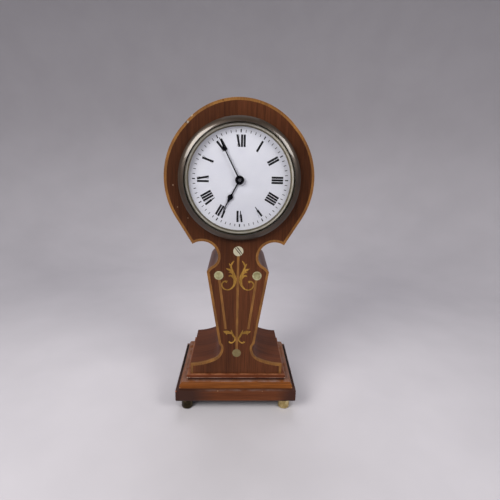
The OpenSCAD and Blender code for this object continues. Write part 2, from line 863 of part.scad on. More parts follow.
module plinth_screws() {
    head_z = base_z + plinth_sink;
    color(steel) for (side = [-1, 1]) translate([side * plinth_screw_x, 0, head_z]) difference() {
        union() {
            cylinder(r = plinth_screw_head_r, h = plinth_screw_head_t);
            cylinder(r = plinth_screw_r, h = case_z - head_z + plinth_screw_bite);
        }
        translate([-plinth_screw_head_r - over, -plinth_slot_w / 2, -over])
            cube([2 * (plinth_screw_head_r + over), plinth_slot_w, over + plinth_screw_head_t / 2]);
    }
}

// Drum, bezel and dial
module movement_drum() {
    color(brass) difference() {
        union() {
            turned() {
                translate([drum_in, -flange_t]) square([flange_r - drum_in, flange_t]);
                translate([drum_in, -flange_t]) square([drum_wall, case_depth + flange_t]);
            }
            for (a = lug_angles) on_dial(between_d, between_d + lug_l) intersection() {
                rotate(a) translate([drum_in - lug_depth, -lug_w / 2]) square([lug_depth + drum_wall, lug_w]);
                circle(drum_in + drum_wall / 2);
            }
        }
        for (a = lug_angles)
            rod(screw_r + seat, between_d - over, between_d + lug_l + over, lug_screw_r * dir(a));
    }
}

module bezel() {
    color(dark_brass) turned() intersection() {
        translate(bezel_c) circle(bezel_round);
        union() {
            translate([bezel_in, bezel_d - bezel_w]) square([bezel_w, bezel_w]);
            translate([glass_r + slip, bezel_d]) square([bezel_out - glass_r - slip, -bezel_d - flange_t - slip]);
            translate([flange_r + slip, bezel_d]) square([bezel_out - flange_r - slip, -bezel_d]);
        }
    }
}

module sight_ring() {
    sight_d = bezel_d + glass_t;
    bead_r = sight_w / 2;
    bead_d = sight_d + bead_r;
    color(silvered) turned() {
        polygon([[dial_r - sight_lip, dial_set - seat], [dial_r - sight_lip, dial_set - sight_edge],
            [dial_r, bead_d], [dial_r + sight_w, bead_d], [dial_r + sight_w, dial_set], [dial_r, dial_set],
            [dial_r, dial_set - seat]]);
        translate([dial_r + bead_r, bead_d - lap]) circle(bead_r);
    }
}

module bezel_glass() {
    dome_edge = bezel_in - slip;
    dome_r = (dome_edge * dome_edge + glass_rise * glass_rise) / (2 * glass_rise);
    color(clear, 0.3) turned() difference() {
        union() {
            translate([0, bezel_d]) square([glass_r, glass_t]);
            intersection() {
                translate([0, bezel_d + dome_r - glass_rise]) circle(dome_r, $fn = 1800);
                translate([0, bezel_d - glass_rise]) square([dome_edge, glass_rise]);
            }
        }
        translate([0, bezel_d + glass_t + dome_r - glass_rise]) circle(dome_r, $fn = 1800);
    }
}

module dial() {
    color(enamel) union() {
        rod(drum_in - slip, dial_set, dial_back_d, [0, 0], hour_pipe_r + loose);
        for (a = dial_foot_angles)
            rod(dial_foot_r, dial_back_d - dial_t / 2, between_d, dial_foot_place_r * dir(a));
    }
}

// Hand with a pear-shaped swelling, pointing up
module pear_hand(length, pear_at, pear_r, hole) {
    difference() {
        union() {
            circle(hand_boss_r);
            polygon(both([[hand_stem_w / 2, 0], [hand_stem_w / 2.5, pear_at]]));
            translate([0, pear_at]) circle(pear_r);
            polygon(both([[hand_stem_w / 2.5, pear_at - 1.5 * pear_r], [0.45 * pear_r, pear_at - 0.8 * pear_r],
                [0.8 * pear_r, pear_at], [0.75 * pear_r, pear_at + 0.6 * pear_r],
                [hand_stem_w / 2.4, pear_at + 2.2 * pear_r], [hand_stem_w / 4, length]]));
        }
        circle(hole);
    }
}

module minute_hand() {
    color(blued_steel) on_dial(minute_hand_d, minute_hand_d + hand_t)
        rotate(-minute_angle) pear_hand(minute_hand_l, minute_pear_at, minute_pear_r, cannon_pipe_r + seat);
}

module hour_hand() {
    color(blued_steel) on_dial(hour_hand_d, hour_hand_d + hand_t)
        rotate(-hour_angle) pear_hand(hour_hand_l, hour_pear_at, hour_pear_r, hour_pipe_r + seat);
}

module hand_collet() {
    color(steel) turned() polygon([[arbor_r + seat, collet_d], [collet_r - collet_bevel, collet_d],
        [collet_r, collet_d + collet_bevel], [collet_r, minute_hand_d], [arbor_r + seat, minute_hand_d]]);
}

// Back ring and door
module hinge_knuckle(from, to, hole) {
    translate([hinge_x, hinge_y, head_z + from]) difference() {
        cylinder(r = knuckle_r, h = to - from);
        translate([0, 0, -over]) cylinder(r = hole, h = to - from + 2 * over);
    }
}

module back_ring() {
    mid = hinge_share * hinge_l / 2;
    color(brass) difference() {
        union() {
            rod(ring_out, case_depth, case_depth + ring_t, [0, 0], ring_in);
            for (side = [0, 1]) mirror_z(side) {
                hinge_knuckle(mid, hinge_l / 2, hinge_pin_r + seat);
                translate([hinge_x - knuckle_r, back_y, head_z + mid])
                    cube([2 * knuckle_r, ring_t + loose + knuckle_r / 2, hinge_l / 2 - mid]);
            }
        }
        translate([hinge_x, hinge_y, head_z - hinge_l]) cylinder(r = hinge_pin_r + seat, h = 2 * hinge_l);
        for (a = ring_screw_angles)
            rod(screw_r + slip, case_depth - over, case_depth + ring_t + over, ring_screw_r * dir(a));
    }
}

// Mirror image about the level of the dial's centre
module mirror_z(side) {
    translate([0, 0, head_z]) mirror([0, 0, side]) translate([0, 0, -head_z]) children();
}

module back_ring_screws() {
    color(steel) for (a = ring_screw_angles)
        plate_screw(ring_screw_r * dir(a), case_depth - ring_screw_l, case_depth + ring_t, 1);
}

module back_door() {
    mid = hinge_share * hinge_l / 2 - loose;
    color(brass) difference() {
        union() {
            turned() {
                translate([0, door_d]) square([door_r, door_t]);
                for (r = [door_r / 3, door_r - door_bead_in])
                    translate([r, door_d]) square([door_bead_w, door_t + door_bead_h]);
            }
            translate([door_r - door_leaf_l, front_y + door_d, head_z - mid])
                cube([hinge_x - door_r + door_leaf_l, door_t, 2 * mid]);
            hinge_knuckle(-mid, mid, hinge_pin_r + running);
        }
        translate([hinge_x, hinge_y, head_z - hinge_l]) cylinder(r = hinge_pin_r + running, h = 2 * hinge_l);
        for (a = ring_screw_angles)
            rod(screw_head_r + 2 * loose, case_depth, door_d + 2 * door_t, ring_screw_r * dir(a));
        rod(knob_tenon_r + seat, case_depth, door_d + 2 * door_t, door_knob_at);
    }
}

module door_hinge_pin() {
    color(steel) translate([hinge_x, hinge_y, head_z - hinge_l / 2]) cylinder(r = hinge_pin_r, h = hinge_l);
}

module door_knob() {
    color(brass) turned(door_knob_at) {
        translate([0, door_d]) square([knob_tenon_r, door_t]);
        translate([0, door_d + door_t]) square([knob_neck_r, door_knob_h - door_knob_r]);
        translate([0, door_d + door_t + door_knob_h - door_knob_r]) intersection() {
            circle(door_knob_r);
            translate([0, -door_knob_r]) square([door_knob_r, 2 * door_knob_r]);
        }
    }
}

// Plates
module pivot_holes(from, to) {
    rod(arbor_r + running, from, to);
    rod(barrel_arbor_r + running, from, to, barrel_at);
    for (at = [third_at, contrate_at]) rod(pivot_r + running, from, to, at);
    for (a = pillar_angles) rod(screw_r + seat, from, to, pillar_place_r * dir(a));
}

module front_plate() {
    color(brass) difference() {
        rod(drum_in - slip, plate_d, between_d);
        pivot_holes(plate_d - over, between_d + over);
        rod(stud_r + seat, plate_d - over, between_d + over, minute_at);
        for (a = dial_foot_angles)
            rod(dial_foot_r + seat, plate_d - over, between_d + over, dial_foot_place_r * dir(a));
        for (a = lug_angles) rod(screw_r + seat, plate_d - over, between_d + over, lug_screw_r * dir(a));
    }
}

module front_plate_screws() {
    color(steel) for (a = lug_angles) plate_screw(lug_screw_r * dir(a), plate_d, between_d + lug_l, -1);
}

module back_plate() {
    color(brass) difference() {
        rod(back_plate_r, back_plate_d, behind_d);
        pivot_holes(back_plate_d - over, behind_d + over);
        for (at = [click_pivot_at, click_spring_foot])
            rod(stud_r + seat, back_plate_d - over, behind_d + over, at);
        for (x = platform_screw_x)
            rod(screw_r + seat, back_plate_d - over, behind_d + over, [x, platform_h + platform_t / 2]);
    }
}

module plate_pillars() {
    color(brass) for (a = pillar_angles) turned(pillar_place_r * dir(a)) difference() {
        union() {
            translate([0, between_d]) square([pillar_r, plate_gap]);
            translate([0, plate_d]) square([screw_r, plate_t + over]);
        }
        translate([pillar_r - pillar_waist_in + pillar_waist_r, between_d + plate_gap / 2])
            circle(pillar_waist_r);
        translate([0, back_plate_d - pillar_screw_l]) square([screw_r + seat, pillar_screw_l + over]);
    }
}

module pillar_screws() {
    color(blued_steel) for (a = pillar_angles)
        plate_screw(pillar_place_r * dir(a), back_plate_d - pillar_screw_l + seat, behind_d, 1);
}

// Barrel and winding work
module mainspring_barrel() {
    color(brass) difference() {
        union() {
            on_dial(barrel_d, barrel_d + barrel_rim_t, barrel_at)
                toothed(barrel_teeth, barrel_mod, barrel_dir - 180);
            rod(barrel_out, barrel_d, barrel_end_d - cover_t, barrel_at);
        }
        rod(barrel_out - barrel_wall, barrel_d + barrel_rim_t, barrel_end_d + over, barrel_at);
        rod(barrel_arbor_r + running, barrel_d - over, barrel_end_d, barrel_at);
    }
}

module barrel_cover() {
    color(brass) rod(barrel_out, barrel_end_d - cover_t, barrel_end_d, barrel_at, barrel_arbor_r + running);
}

module mainspring() {
    color(blued_steel) on_dial(barrel_d + barrel_rim_t + loose, barrel_end_d - cover_t - loose, barrel_at)
        spiral(core_r + loose, barrel_out - barrel_wall - loose, mainspring_turns, mainspring_t);
}

module barrel_arbor() {
    square_d = ratchet_d + ratchet_t;
    color(steel) union() {
        rod(barrel_arbor_r, plate_d + slip, square_d, barrel_at);
        rod(core_r, barrel_d + barrel_rim_t + loose, barrel_end_d - cover_t - loose, barrel_at);
        on_dial(square_d - over, square_d + winding_l, barrel_at) square(winding_square, center = true);
    }
}

module ratchet_wheel() {
    step = 360 / ratchet_teeth;
    color(steel) on_dial(ratchet_d, ratchet_d + ratchet_t, barrel_at) difference() {
        polygon([for (i = [0:ratchet_teeth - 1]) for (p = [[0, ratchet_tip], [ratchet_lean, ratchet_root]])
            p[1] * dir(click_nose_dir + ratchet_phase + step * (i + p[0]))]);
        circle(barrel_arbor_r + seat);
    }
}

module click() {
    inward = (barrel_at - click_pivot_at) / norm(barrel_at - click_pivot_at);
    color(steel) on_dial(ratchet_d, ratchet_d + ratchet_t) difference() {
        union() {
            translate(click_pivot_at) circle(click_r);
            polygon([barrel_at + (ratchet_tip + 0.35) * dir(click_nose_dir - 8),
                click_pivot_at + 0.8 * click_r * inward, click_pivot_at + 1.4 * dir(click_nose_dir + 10),
                barrel_at + (ratchet_tip + 1.2) * dir(click_nose_dir - 1), click_nose_at]);
        }
        translate(click_pivot_at) circle(stud_r + running);
    }
}

module click_screws() {
    color(blued_steel) for (at = [click_pivot_at, click_spring_foot]) union() {
        rod(stud_r, back_plate_d + slip, ratchet_d + ratchet_t + running, at);
        rod(screw_head_r, ratchet_d + ratchet_t + running, ratchet_d + ratchet_t + screw_head_t, at);
    }
}

module click_spring() {
    tip = barrel_at + (ratchet_tip + 2.4) * dir(click_nose_dir - 12);
    foot = click_spring_foot;
    color(blued_steel) on_dial(behind_d, ratchet_d + ratchet_t) difference() {
        union() {
            translate(foot) square(2 * click_r, center = true);
            ribbon([[foot.x - 0.8 * click_r, foot.y, 0.5], [foot.x - 3, foot.y + 0.6, 0.3],
                [tip.x - 0.6, tip.y + 3, 0.25], [tip.x, tip.y, 0.2]]);
        }
        translate(foot) circle(stud_r + seat);
    }
}

// Motion work
module hand_arbor() {
    color(steel) rod(arbor_r, collet_d - arbor_pin_l, behind_d + set_l);
}

module set_knob() {
    color(brass) turned() difference() {
        union() {
            translate([arbor_r + seat, behind_d + set_l - set_boss_l]) square([set_boss_w, set_boss_l]);
            translate([arbor_r + seat, set_grip_d]) square([set_grip_w, set_grip_l]);
        }
        for (share = [0.25, 0.75])
            translate([arbor_r + seat + set_grip_w, set_grip_d + share * set_grip_l]) circle(set_groove_r);
    }
}

module cannon_pinion() {
    color(steel) difference() {
        union() {
            rod(cannon_pipe_r, minute_hand_d, plate_d - leaf_past);
            on_dial(minute_wheel_d - leaf_past, plate_d - leaf_past - slip)
                toothed(cannon_leaves, motion_mod, minute_dir, true);
        }
        rod(arbor_r + seat, minute_hand_d - over, plate_d);
    }
}

module minute_wheel() {
    color(brass) difference() {
        union() {
            on_dial(minute_wheel_d, minute_wheel_d + motion_t, minute_at) difference() {
                toothed(minute_teeth, motion_mod, minute_dir + 180 + 180 / minute_teeth);
                crossings(motion_mod * minute_teeth / 2);
            }
            on_dial(hour_wheel_d - leaf_past, minute_wheel_d + motion_t, minute_at)
                toothed(minute_leaves, hour_mod, minute_dir + 180, true);
        }
        rod(stud_r + running, dial_back_d, plate_d, minute_at);
    }
}

module minute_wheel_stud() {
    color(steel) union() {
        rod(stud_r, dial_back_d + loose, between_d, minute_at);
        rod(2 * stud_r, minute_wheel_d + motion_t + slip, plate_d, minute_at);
    }
}

module hour_wheel() {
    color(brass) difference() {
        union() {
            on_dial(hour_wheel_d, hour_wheel_d + motion_t) difference() {
                toothed(hour_teeth, hour_mod, minute_dir + 180 / hour_teeth);
                crossings(hour_mod * hour_teeth / 2);
            }
            rod(hour_pipe_r, hour_hand_d, hour_wheel_d + motion_t);
        }
        rod(hour_pipe_in, hour_hand_d - over, hour_wheel_d + motion_t + over);
    }
}

// Going train
module arbor(at, r) {
    rod(r, between_d + loose, back_plate_d - loose, at);
    rod(pivot_r, plate_d + slip, behind_d - slip, at);
}

module centre_wheel() {
    color(brass) difference() {
        union() {
            on_dial(centre_wheel_d, centre_wheel_d + wheel_t) difference() {
                toothed(centre_teeth, centre_mod, third_dir);
                crossings(centre_mod * centre_teeth / 2);
            }
            on_dial(barrel_d - leaf_past, barrel_d + barrel_rim_t + leaf_past)
                toothed(centre_leaves, barrel_mod, barrel_dir + 180 / centre_leaves, true);
            rod(arbor_r + running + centre_pipe_wall, between_d + loose, centre_wheel_d + wheel_t + leaf_past);
        }
        rod(arbor_r + running, between_d, back_plate_d);
    }
}

module third_wheel() {
    color(brass) union() {
        on_dial(third_wheel_d, third_wheel_d + wheel_t, third_at) difference() {
            toothed(third_teeth, third_mod, contrate_dir);
            crossings(third_mod * third_teeth / 2);
        }
        on_dial(centre_wheel_d - leaf_past, centre_wheel_d + wheel_t + leaf_past, third_at)
            toothed(third_leaves, centre_mod, third_dir + 180 + 180 / third_leaves, true);
        arbor(third_at, third_arbor_r);
    }
}

module contrate_wheel() {
    step = 360 / contrate_teeth;
    half = crown_tooth_share * step;
    inner = contrate_r - crown_w / 2;
    outer = contrate_r + crown_w / 2;
    color(brass) union() {
        on_dial(contrate_d, contrate_d + contrate_web, contrate_at) difference() {
            circle(outer + slip);
            crossings(contrate_r);
        }
        on_dial(contrate_d, contrate_d + contrate_web + crown_h, contrate_at)
            for (i = [0:contrate_teeth - 1]) rotate(90 + step * (i + 0.5))
                polygon([inner * dir(-half), outer * dir(-half), outer * dir(half), inner * dir(half)]);
        on_dial(third_wheel_d - leaf_past, third_wheel_d + wheel_t + leaf_past, contrate_at)
            toothed(contrate_leaves, third_mod, contrate_dir + 180 + 180 / contrate_leaves, true);
        arbor(contrate_at, contrate_arbor_r);
    }
}

// Platform escapement
module platform() {
    color(brass) difference() {
        union() {
            level(platform_h, deck_h) translate([platform_x[0], between_d + loose])
                square([platform_x[1] - platform_x[0], plate_gap - loose]);
            level(arm_h, arm_h + arm_t, escape_at) translate([-arm_w / 2, -arm_t / 2])
                square([arm_w, hanger_d + hanger_t + arm_t / 2]);
            level(arm_h, platform_h + platform_t / 2, escape_at) translate([-arm_w / 2, hanger_d])
                square([arm_w, hanger_t]);
        }
        level(arm_h - over, arm_h + arm_t + over, escape_at) circle(fine_pivot_r + running);
        level(platform_h - over, deck_h + over, escape_at) circle(arm_w / 2);
        for (at = [lever_at, balance_at])
            level(platform_h - over, deck_h + over, at) circle(fine_pivot_r + running);
        for (x = platform_screw_x)
            rod(screw_r + seat, back_plate_d - pillar_screw_l, back_plate_d + over,
                [x, platform_h + platform_t / 2]);
    }
}

module platform_screws() {
    color(blued_steel) for (x = platform_screw_x)
        plate_screw([x, platform_h + platform_t / 2], back_plate_d - pillar_screw_l + seat, behind_d, 1);
}

module escape_wheel() {
    step = 360 / escape_teeth;
    escape_root = escape_r - escape_tooth_h;
    tooth = [[0, escape_r], [0.16, escape_r - slip], [0.3, escape_root], [0.9, escape_root]];
    color(steel) union() {
        level(escape_wheel_h, escape_wheel_h + escape_t, escape_at) difference() {
            polygon([for (i = [0:escape_teeth - 1]) for (p = tooth) p[1] * dir(step * (i + p[0]))]);
            crossings(escape_root, 4);
        }
        level(contrate_top - arm_t, contrate_top + arm_t, escape_at)
            toothed(escape_leaves, contrate_mod, 270, true);
        level(arm_h + arm_t + slip, bridge_h - slip, escape_at) circle(staff_r);
        level(arm_h + slip, bridge_h + bridge_t - slip, escape_at) circle(fine_pivot_r);
    }
}

// Pallet lever: two short arms beside the escape wheel and a fork towards the balance
module pallet_lever() {
    to_wheel = (escape_at - lever_at) / norm(escape_at - lever_at);
    side = [-to_wheel.y, to_wheel.x];
    to_balance = (balance_at - lever_at) / norm(balance_at - lever_at);
    fork_l = norm(balance_at - lever_at) - boss_r - 0.9;
    color(steel) union() {
        level(escape_wheel_h - slip, escape_wheel_h + escape_t + slip, lever_at) {
            circle(0.7);
            rotate(atan2(to_wheel.y, to_wheel.x) - 90) both_sides()
                polygon([[0, -0.4], [2.8, -0.2], [2.9, 0.9], [2.3, 1.1], [0, 0.4]]);
            polygon([fork_l * to_balance + 0.7 * side, (fork_l - 0.7) * to_balance,
                fork_l * to_balance - 0.7 * side, -0.45 * side, 0.45 * side]);
        }
        level(deck_h + slip, bridge_h - slip, lever_at) circle(staff_r);
        level(platform_h + slip, bridge_h + bridge_t - slip, lever_at) circle(fine_pivot_r);
    }
}

module lever_bridge() {
    color(brass) difference() {
        union() {
            level(deck_h, bridge_h + bridge_t, bridge_foot_at) circle(bridge_half);
            level(bridge_h, bridge_h + bridge_t) for (from = [bridge_foot_at, lever_at])
                bar(from, escape_at, bridge_half);
        }
        for (at = [escape_at, lever_at])
            level(bridge_h - over, bridge_h + bridge_t + over, at) circle(fine_pivot_r + running);
    }
}

// Flat bar with round ends
module bar(a, b, half) {
    across = half * [a.y - b.y, b.x - a.x] / norm(b - a);
    translate(a) circle(half);
    translate(b) circle(half);
    polygon([a - across, b - across, b + across, a + across]);
}

module balance_wheel() {
    color(brass) union() {
        level(balance_h, balance_h + balance_t, balance_at) {
            ring(balance_r, balance_r - balance_rim_w);
            square([2 * balance_r - balance_rim_w, balance_arm_w], center = true);
            circle(balance_hub_r);
        }
        level(deck_h + slip, cock_h - slip, balance_at) circle(staff_r);
        level(platform_h + slip, cock_h + cock_t - slip, balance_at) circle(fine_pivot_r);
        level(escape_wheel_h - slip, escape_wheel_h + escape_t, balance_at) circle(boss_r);
    }
}

module hairspring() {
    color(blued_steel) level(hairspring_h, hairspring_h + hairspring_w, balance_at) {
        rotate(90) spiral(balance_hub_r, hairspring_r, hairspring_turns, hairspring_t, 24);
        ring(balance_hub_r + slip, staff_r + seat);
    }
}

module balance_cock() {
    foot_d = [balance_at.y + balance_r + cock_gap, back_plate_d - loose];
    stud_at = balance_at + [0, hairspring_r + hairspring_t / 2 + stud_pin_r];
    color(brass) difference() {
        union() {
            level(deck_h, cock_h + cock_t) translate([balance_at.x - cock_foot_half, foot_d[0]])
                square([2 * cock_foot_half, foot_d[1] - foot_d[0]]);
            level(cock_h, cock_h + cock_t) bar(balance_at, [balance_at.x, foot_d[0] + over], cock_half);
            level(cock_h, cock_h + cock_t + regulator_t + slip, balance_at) circle(boss_r);
            level(hairspring_h, cock_h + cock_t / 2, stud_at) circle(stud_pin_r);
        }
        level(cock_h - over, cock_h + cock_t + regulator_t + over, balance_at) circle(fine_pivot_r + running);
    }
}

module regulator_lever() {
    color(steel) level(cock_h + cock_t + slip, cock_h + cock_t + slip + regulator_t, balance_at) difference() {
        union() {
            circle(boss_r + regulator_ring_w);
            polygon(both([[regulator_w / 2, 0], [regulator_tip_w / 2, regulator_l]]));
        }
        circle(boss_r + running);
    }
}

case_carcass();
front_panel();
edge_stringing();
centre_line();
side_lines();
upper_scrolls();
lower_scrolls();
pearl_roundels();
plinth_step();
plinth_moulding();
plinth_base();
foot_front_left();
foot_front_right();
foot_back_left();
foot_back_right();
plinth_screws();
movement_drum();
bezel();
sight_ring();
bezel_glass();
dial();
minute_hand();
hour_hand();
hand_collet();
back_ring();
back_ring_screws();
back_door();
door_hinge_pin();
door_knob();
front_plate();
front_plate_screws();
back_plate();
plate_pillars();
pillar_screws();
mainspring_barrel();
barrel_cover();
mainspring();
barrel_arbor();
ratchet_wheel();
click();
click_screws();
click_spring();
hand_arbor();
set_knob();
cannon_pinion();
minute_wheel();
minute_wheel_stud();
hour_wheel();
centre_wheel();
third_wheel();
contrate_wheel();
platform();
platform_screws();
escape_wheel();
pallet_lever();
lever_bridge();
balance_wheel();
hairspring();
balance_cock();
regulator_lever();
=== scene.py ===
# %% [markdown]
# # An inlaid balloon clock
# A balloon clock has a round head on a waisted body, here in mahogany with pale inlay, on a stepped plinth.
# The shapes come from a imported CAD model, so this lesson is about looks: a camera, soft light, the print on
# the dial, and a finish for every piece. The CAD model is loaded first and never moved.

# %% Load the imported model
import math

import bmesh
import bpy
from mathutils import Matrix, Vector


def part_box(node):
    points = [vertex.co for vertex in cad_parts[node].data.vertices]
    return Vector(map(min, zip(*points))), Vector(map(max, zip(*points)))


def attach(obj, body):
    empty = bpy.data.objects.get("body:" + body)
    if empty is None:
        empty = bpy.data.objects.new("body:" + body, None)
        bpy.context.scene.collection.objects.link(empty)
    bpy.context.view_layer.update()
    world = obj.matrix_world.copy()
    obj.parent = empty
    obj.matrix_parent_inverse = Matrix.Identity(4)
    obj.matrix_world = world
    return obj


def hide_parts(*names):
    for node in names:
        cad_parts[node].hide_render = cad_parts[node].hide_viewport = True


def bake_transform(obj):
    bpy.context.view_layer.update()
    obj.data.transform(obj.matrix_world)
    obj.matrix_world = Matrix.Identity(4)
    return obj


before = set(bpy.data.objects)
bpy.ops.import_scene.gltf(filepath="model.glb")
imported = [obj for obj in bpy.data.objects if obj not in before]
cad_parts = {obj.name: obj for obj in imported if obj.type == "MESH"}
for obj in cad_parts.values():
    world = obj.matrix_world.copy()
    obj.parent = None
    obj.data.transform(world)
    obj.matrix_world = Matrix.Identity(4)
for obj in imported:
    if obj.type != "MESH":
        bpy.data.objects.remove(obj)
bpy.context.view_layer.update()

MM = 0.001
scene = bpy.context.scene
scene.view_settings.view_transform = "Standard"

# %% [markdown]
# ## The camera
# The clock was seen from close by, from a little above and almost straight in front, with the camera tilted
# slightly. The three turns were worked out from known points of the case, so the camera is built from its
# own axes: ahead, right and up. The focal length, in pixels of the image, sets the lens.

# %% Place the camera
FOCAL_PIXELS, IMAGE_PIXELS, SENSOR = 360, 500, 36
eye = Vector((-2.4, -299.75, 208.0)) * MM
pitch, yaw, roll = (math.radians(turn) for turn in (14.3, -2.42, 1.49))
ahead = Vector((-math.sin(yaw) * math.cos(pitch), math.cos(yaw) * math.cos(pitch), -math.sin(pitch)))
level = Vector((math.cos(yaw), math.sin(yaw), 0))
above = level.cross(ahead)
right = math.cos(roll) * level + math.sin(roll) * above
up = math.cos(roll) * above - math.sin(roll) * level

camera = bpy.data.objects.new("camera", bpy.data.cameras.new("camera"))
scene.collection.objects.link(camera)
camera.matrix_world = Matrix((right, up, -ahead)).transposed().to_4x4()
camera.location = eye
camera.data.sensor_fit = "HORIZONTAL"
camera.data.sensor_width = SENSOR
camera.data.lens = SENSOR * FOCAL_PIXELS / IMAGE_PIXELS
scene.camera = camera
print("camera at", [round(c / MM, 1) for c in eye], "lens", round(camera.data.lens, 2))

# %% [markdown]
# ## Colours and nodes
# Colours are written as sRGB hex values, as a colour picker shows them, and Blender's nodes want linear
# light, so one function turns them. A second one adds a node: what it is given for an input is linked if it
# is a socket and set if it is a number, and it hands back one output. Two more begin and end a material, and
# every finish below is built from these four.

# %% Four small helpers
def linear(colour):
    """Give a hex colour as linear red, green, blue and a full alpha."""
    parts = [int(colour[at:at + 2], 16) / 255 for at in (1, 3, 5)]
    return [c / 12.92 if c <= 0.04045 else ((c + 0.055) / 1.055) ** 2.4 for c in parts] + [1]


def add(tree, kind, inputs=None, give=0, stops=None, **settings):
    """Add one node with its settings, inputs and ramp stops, and give one of its outputs."""
    made = tree.nodes.new(kind)
    for name, value in settings.items():
        setattr(made, name, value)
    for socket, value in (inputs or {}).items():
        if isinstance(value, bpy.types.NodeSocket):
            tree.links.new(value, made.inputs[socket])
        else:
            made.inputs[socket].default_value = value
    if stops:
        ramp = made.color_ramp.elements
        ramp.remove(ramp[1])
        ramp[0].position, ramp[0].color = stops[0][0], linear(stops[0][1])
        for at, colour in stops[1:]:
            ramp.new(at).color = linear(colour)
    return made.outputs[give] if made.outputs else made


def start_finish(name):
    """Give a new material, its node tree and its Object coordinates."""
    material = bpy.data.materials.new(name)
    material.use_nodes = True
    material.node_tree.nodes.clear()
    return material, material.node_tree, add(material.node_tree, "ShaderNodeTexCoord", give="Object")


def close_finish(tree, inputs):
    """End a material in one Principled shader."""
    surface = add(tree, "ShaderNodeBsdfPrincipled", inputs)
    add(tree, "ShaderNodeOutputMaterial", {"Surface": surface})


print("mid grey in linear light:", round(linear("#808080")[0], 3))

# %% [markdown]
# ## The stage
# The clock stands on pale paper. A flat floor with a round, rising edge gives a backdrop from every side,
# with no line where floor and wall meet. The paper is matt, with a faint mottle about 60 mm wide, and it is
# painted a little greyer up the wall as painted shade. It is a stage and not part of the object.

# %% Make the paper bowl
MOTTLE = 60
# In metres: the flat floor, the round edge, the top of the wall, and where the grey is full.
FLOOR_R, SWEEP_R, WALL_TOP, GREY_TOP = 0.40, 0.30, 0.85, 0.35
SWEEP_STEPS, TURNS = 12, 96

paper, tree, place = start_finish("pale_paper")
mottle = add(tree, "ShaderNodeTexNoise", {"Vector": place, "Scale": 1 / (MOTTLE * MM), "Detail": 3.0},
             give="Fac")
tint = add(tree, "ShaderNodeValToRGB", {"Fac": mottle}, stops=[(0.3, "#afacb1"), (0.7, "#b4b1b6")])
height = add(tree, "ShaderNodeSeparateXYZ", {0: place}, give="Z")
# Painted shade: the paper is mixed greyer with height up the wall.
wall_shade = add(tree, "ShaderNodeMapRange", {"Value": height, "From Min": 0.0, "From Max": GREY_TOP,
                                        "To Max": 0.3})
tint = add(tree, "ShaderNodeMix", {0: wall_shade, 6: tint, 7: linear("#858287")}, give=2, data_type="RGBA")
close_finish(tree, {"Base Color": tint, "Roughness": 0.9, "Specular IOR Level": 0.2})

# The profile is radius and height in metres. Its small first ring is closed by one face.
profile = [(0.001, 0.0), (0.1, 0.0), (0.25, 0.0)]
profile += [(FLOOR_R + SWEEP_R * math.sin(t), SWEEP_R * (1 - math.cos(t)))
            for t in (math.radians(90 * step / SWEEP_STEPS) for step in range(SWEEP_STEPS + 1))]
profile += [(FLOOR_R + SWEEP_R, WALL_TOP)]
rings = [[(r * math.cos(2 * math.pi * k / TURNS), r * math.sin(2 * math.pi * k / TURNS), z)
          for k in range(TURNS)] for r, z in profile]
faces = [(row * TURNS + k, row * TURNS + (k + 1) % TURNS,
          (row + 1) * TURNS + (k + 1) % TURNS, (row + 1) * TURNS + k)
         for row in range(len(rings) - 1) for k in range(TURNS)]
faces.append(tuple(reversed(range(TURNS))))
bowl_mesh = bpy.data.meshes.new("paper_bowl")
bowl_mesh.from_pydata([point for ring in rings for point in ring], [], faces)
bowl_mesh.polygons.foreach_set("use_smooth", [True] * len(bowl_mesh.polygons))
bowl_mesh.materials.append(paper)
bowl = bpy.data.objects.new("paper_bowl", bowl_mesh)
scene.collection.objects.link(bowl)
print("paper bowl faces:", len(bowl_mesh.polygons))

# %% [markdown]
# ## The light
# Polished wood and rounded metal show what they reflect. Two softboxes in front, on the left and on the
# right, give the two bright places on the bezel. A wide one overhead lights the ledges of the plinth, one
# behind lights the paper and the back of the case, and a dim world fills the shadows. None hangs outside the
# bowl's wall, which would hide it. Together they light a colour to about the value that it is written with.

# %% Hang the softboxes
AIM = Vector((0, 0, 0.13))


def softbox(name, spot, size, watts, colour, spread):
    """Hang a square lamp of a size in metres that faces the clock, with its light in a cone of degrees."""
    lamp = bpy.data.lights.new(name, "AREA")
    lamp.size, lamp.energy, lamp.color = size, watts, linear(colour)[:3]
    lamp.spread = math.radians(spread)
    holder = bpy.data.objects.new(name, lamp)
    holder.location = spot
    holder.rotation_euler = (AIM - Vector(spot)).to_track_quat("-Z", "Y").to_euler()
    scene.collection.objects.link(holder)


softbox("softbox_left", (-0.40, -0.45, 0.50), 0.36, 2.7, "#fffdf9", 120)
softbox("softbox_right", (0.42, -0.41, 0.48), 0.24, 1.25, "#fffdf9", 120)
softbox("softbox_overhead", (0.0, -0.05, 1.25), 0.7, 0.4, "#f6f8ff", 120)
softbox("softbox_back", (0.0, 0.45, 0.90), 0.6, 2.4, "#fbfaff", 130)

world = bpy.data.worlds.new("dim_room")
world.use_nodes = True
world.node_tree.nodes.clear()
glow = add(world.node_tree, "ShaderNodeBackground", {"Color": linear("#f0eff4"), "Strength": 0.2})
add(world.node_tree, "ShaderNodeOutputWorld", {"Surface": glow})
scene.world = world
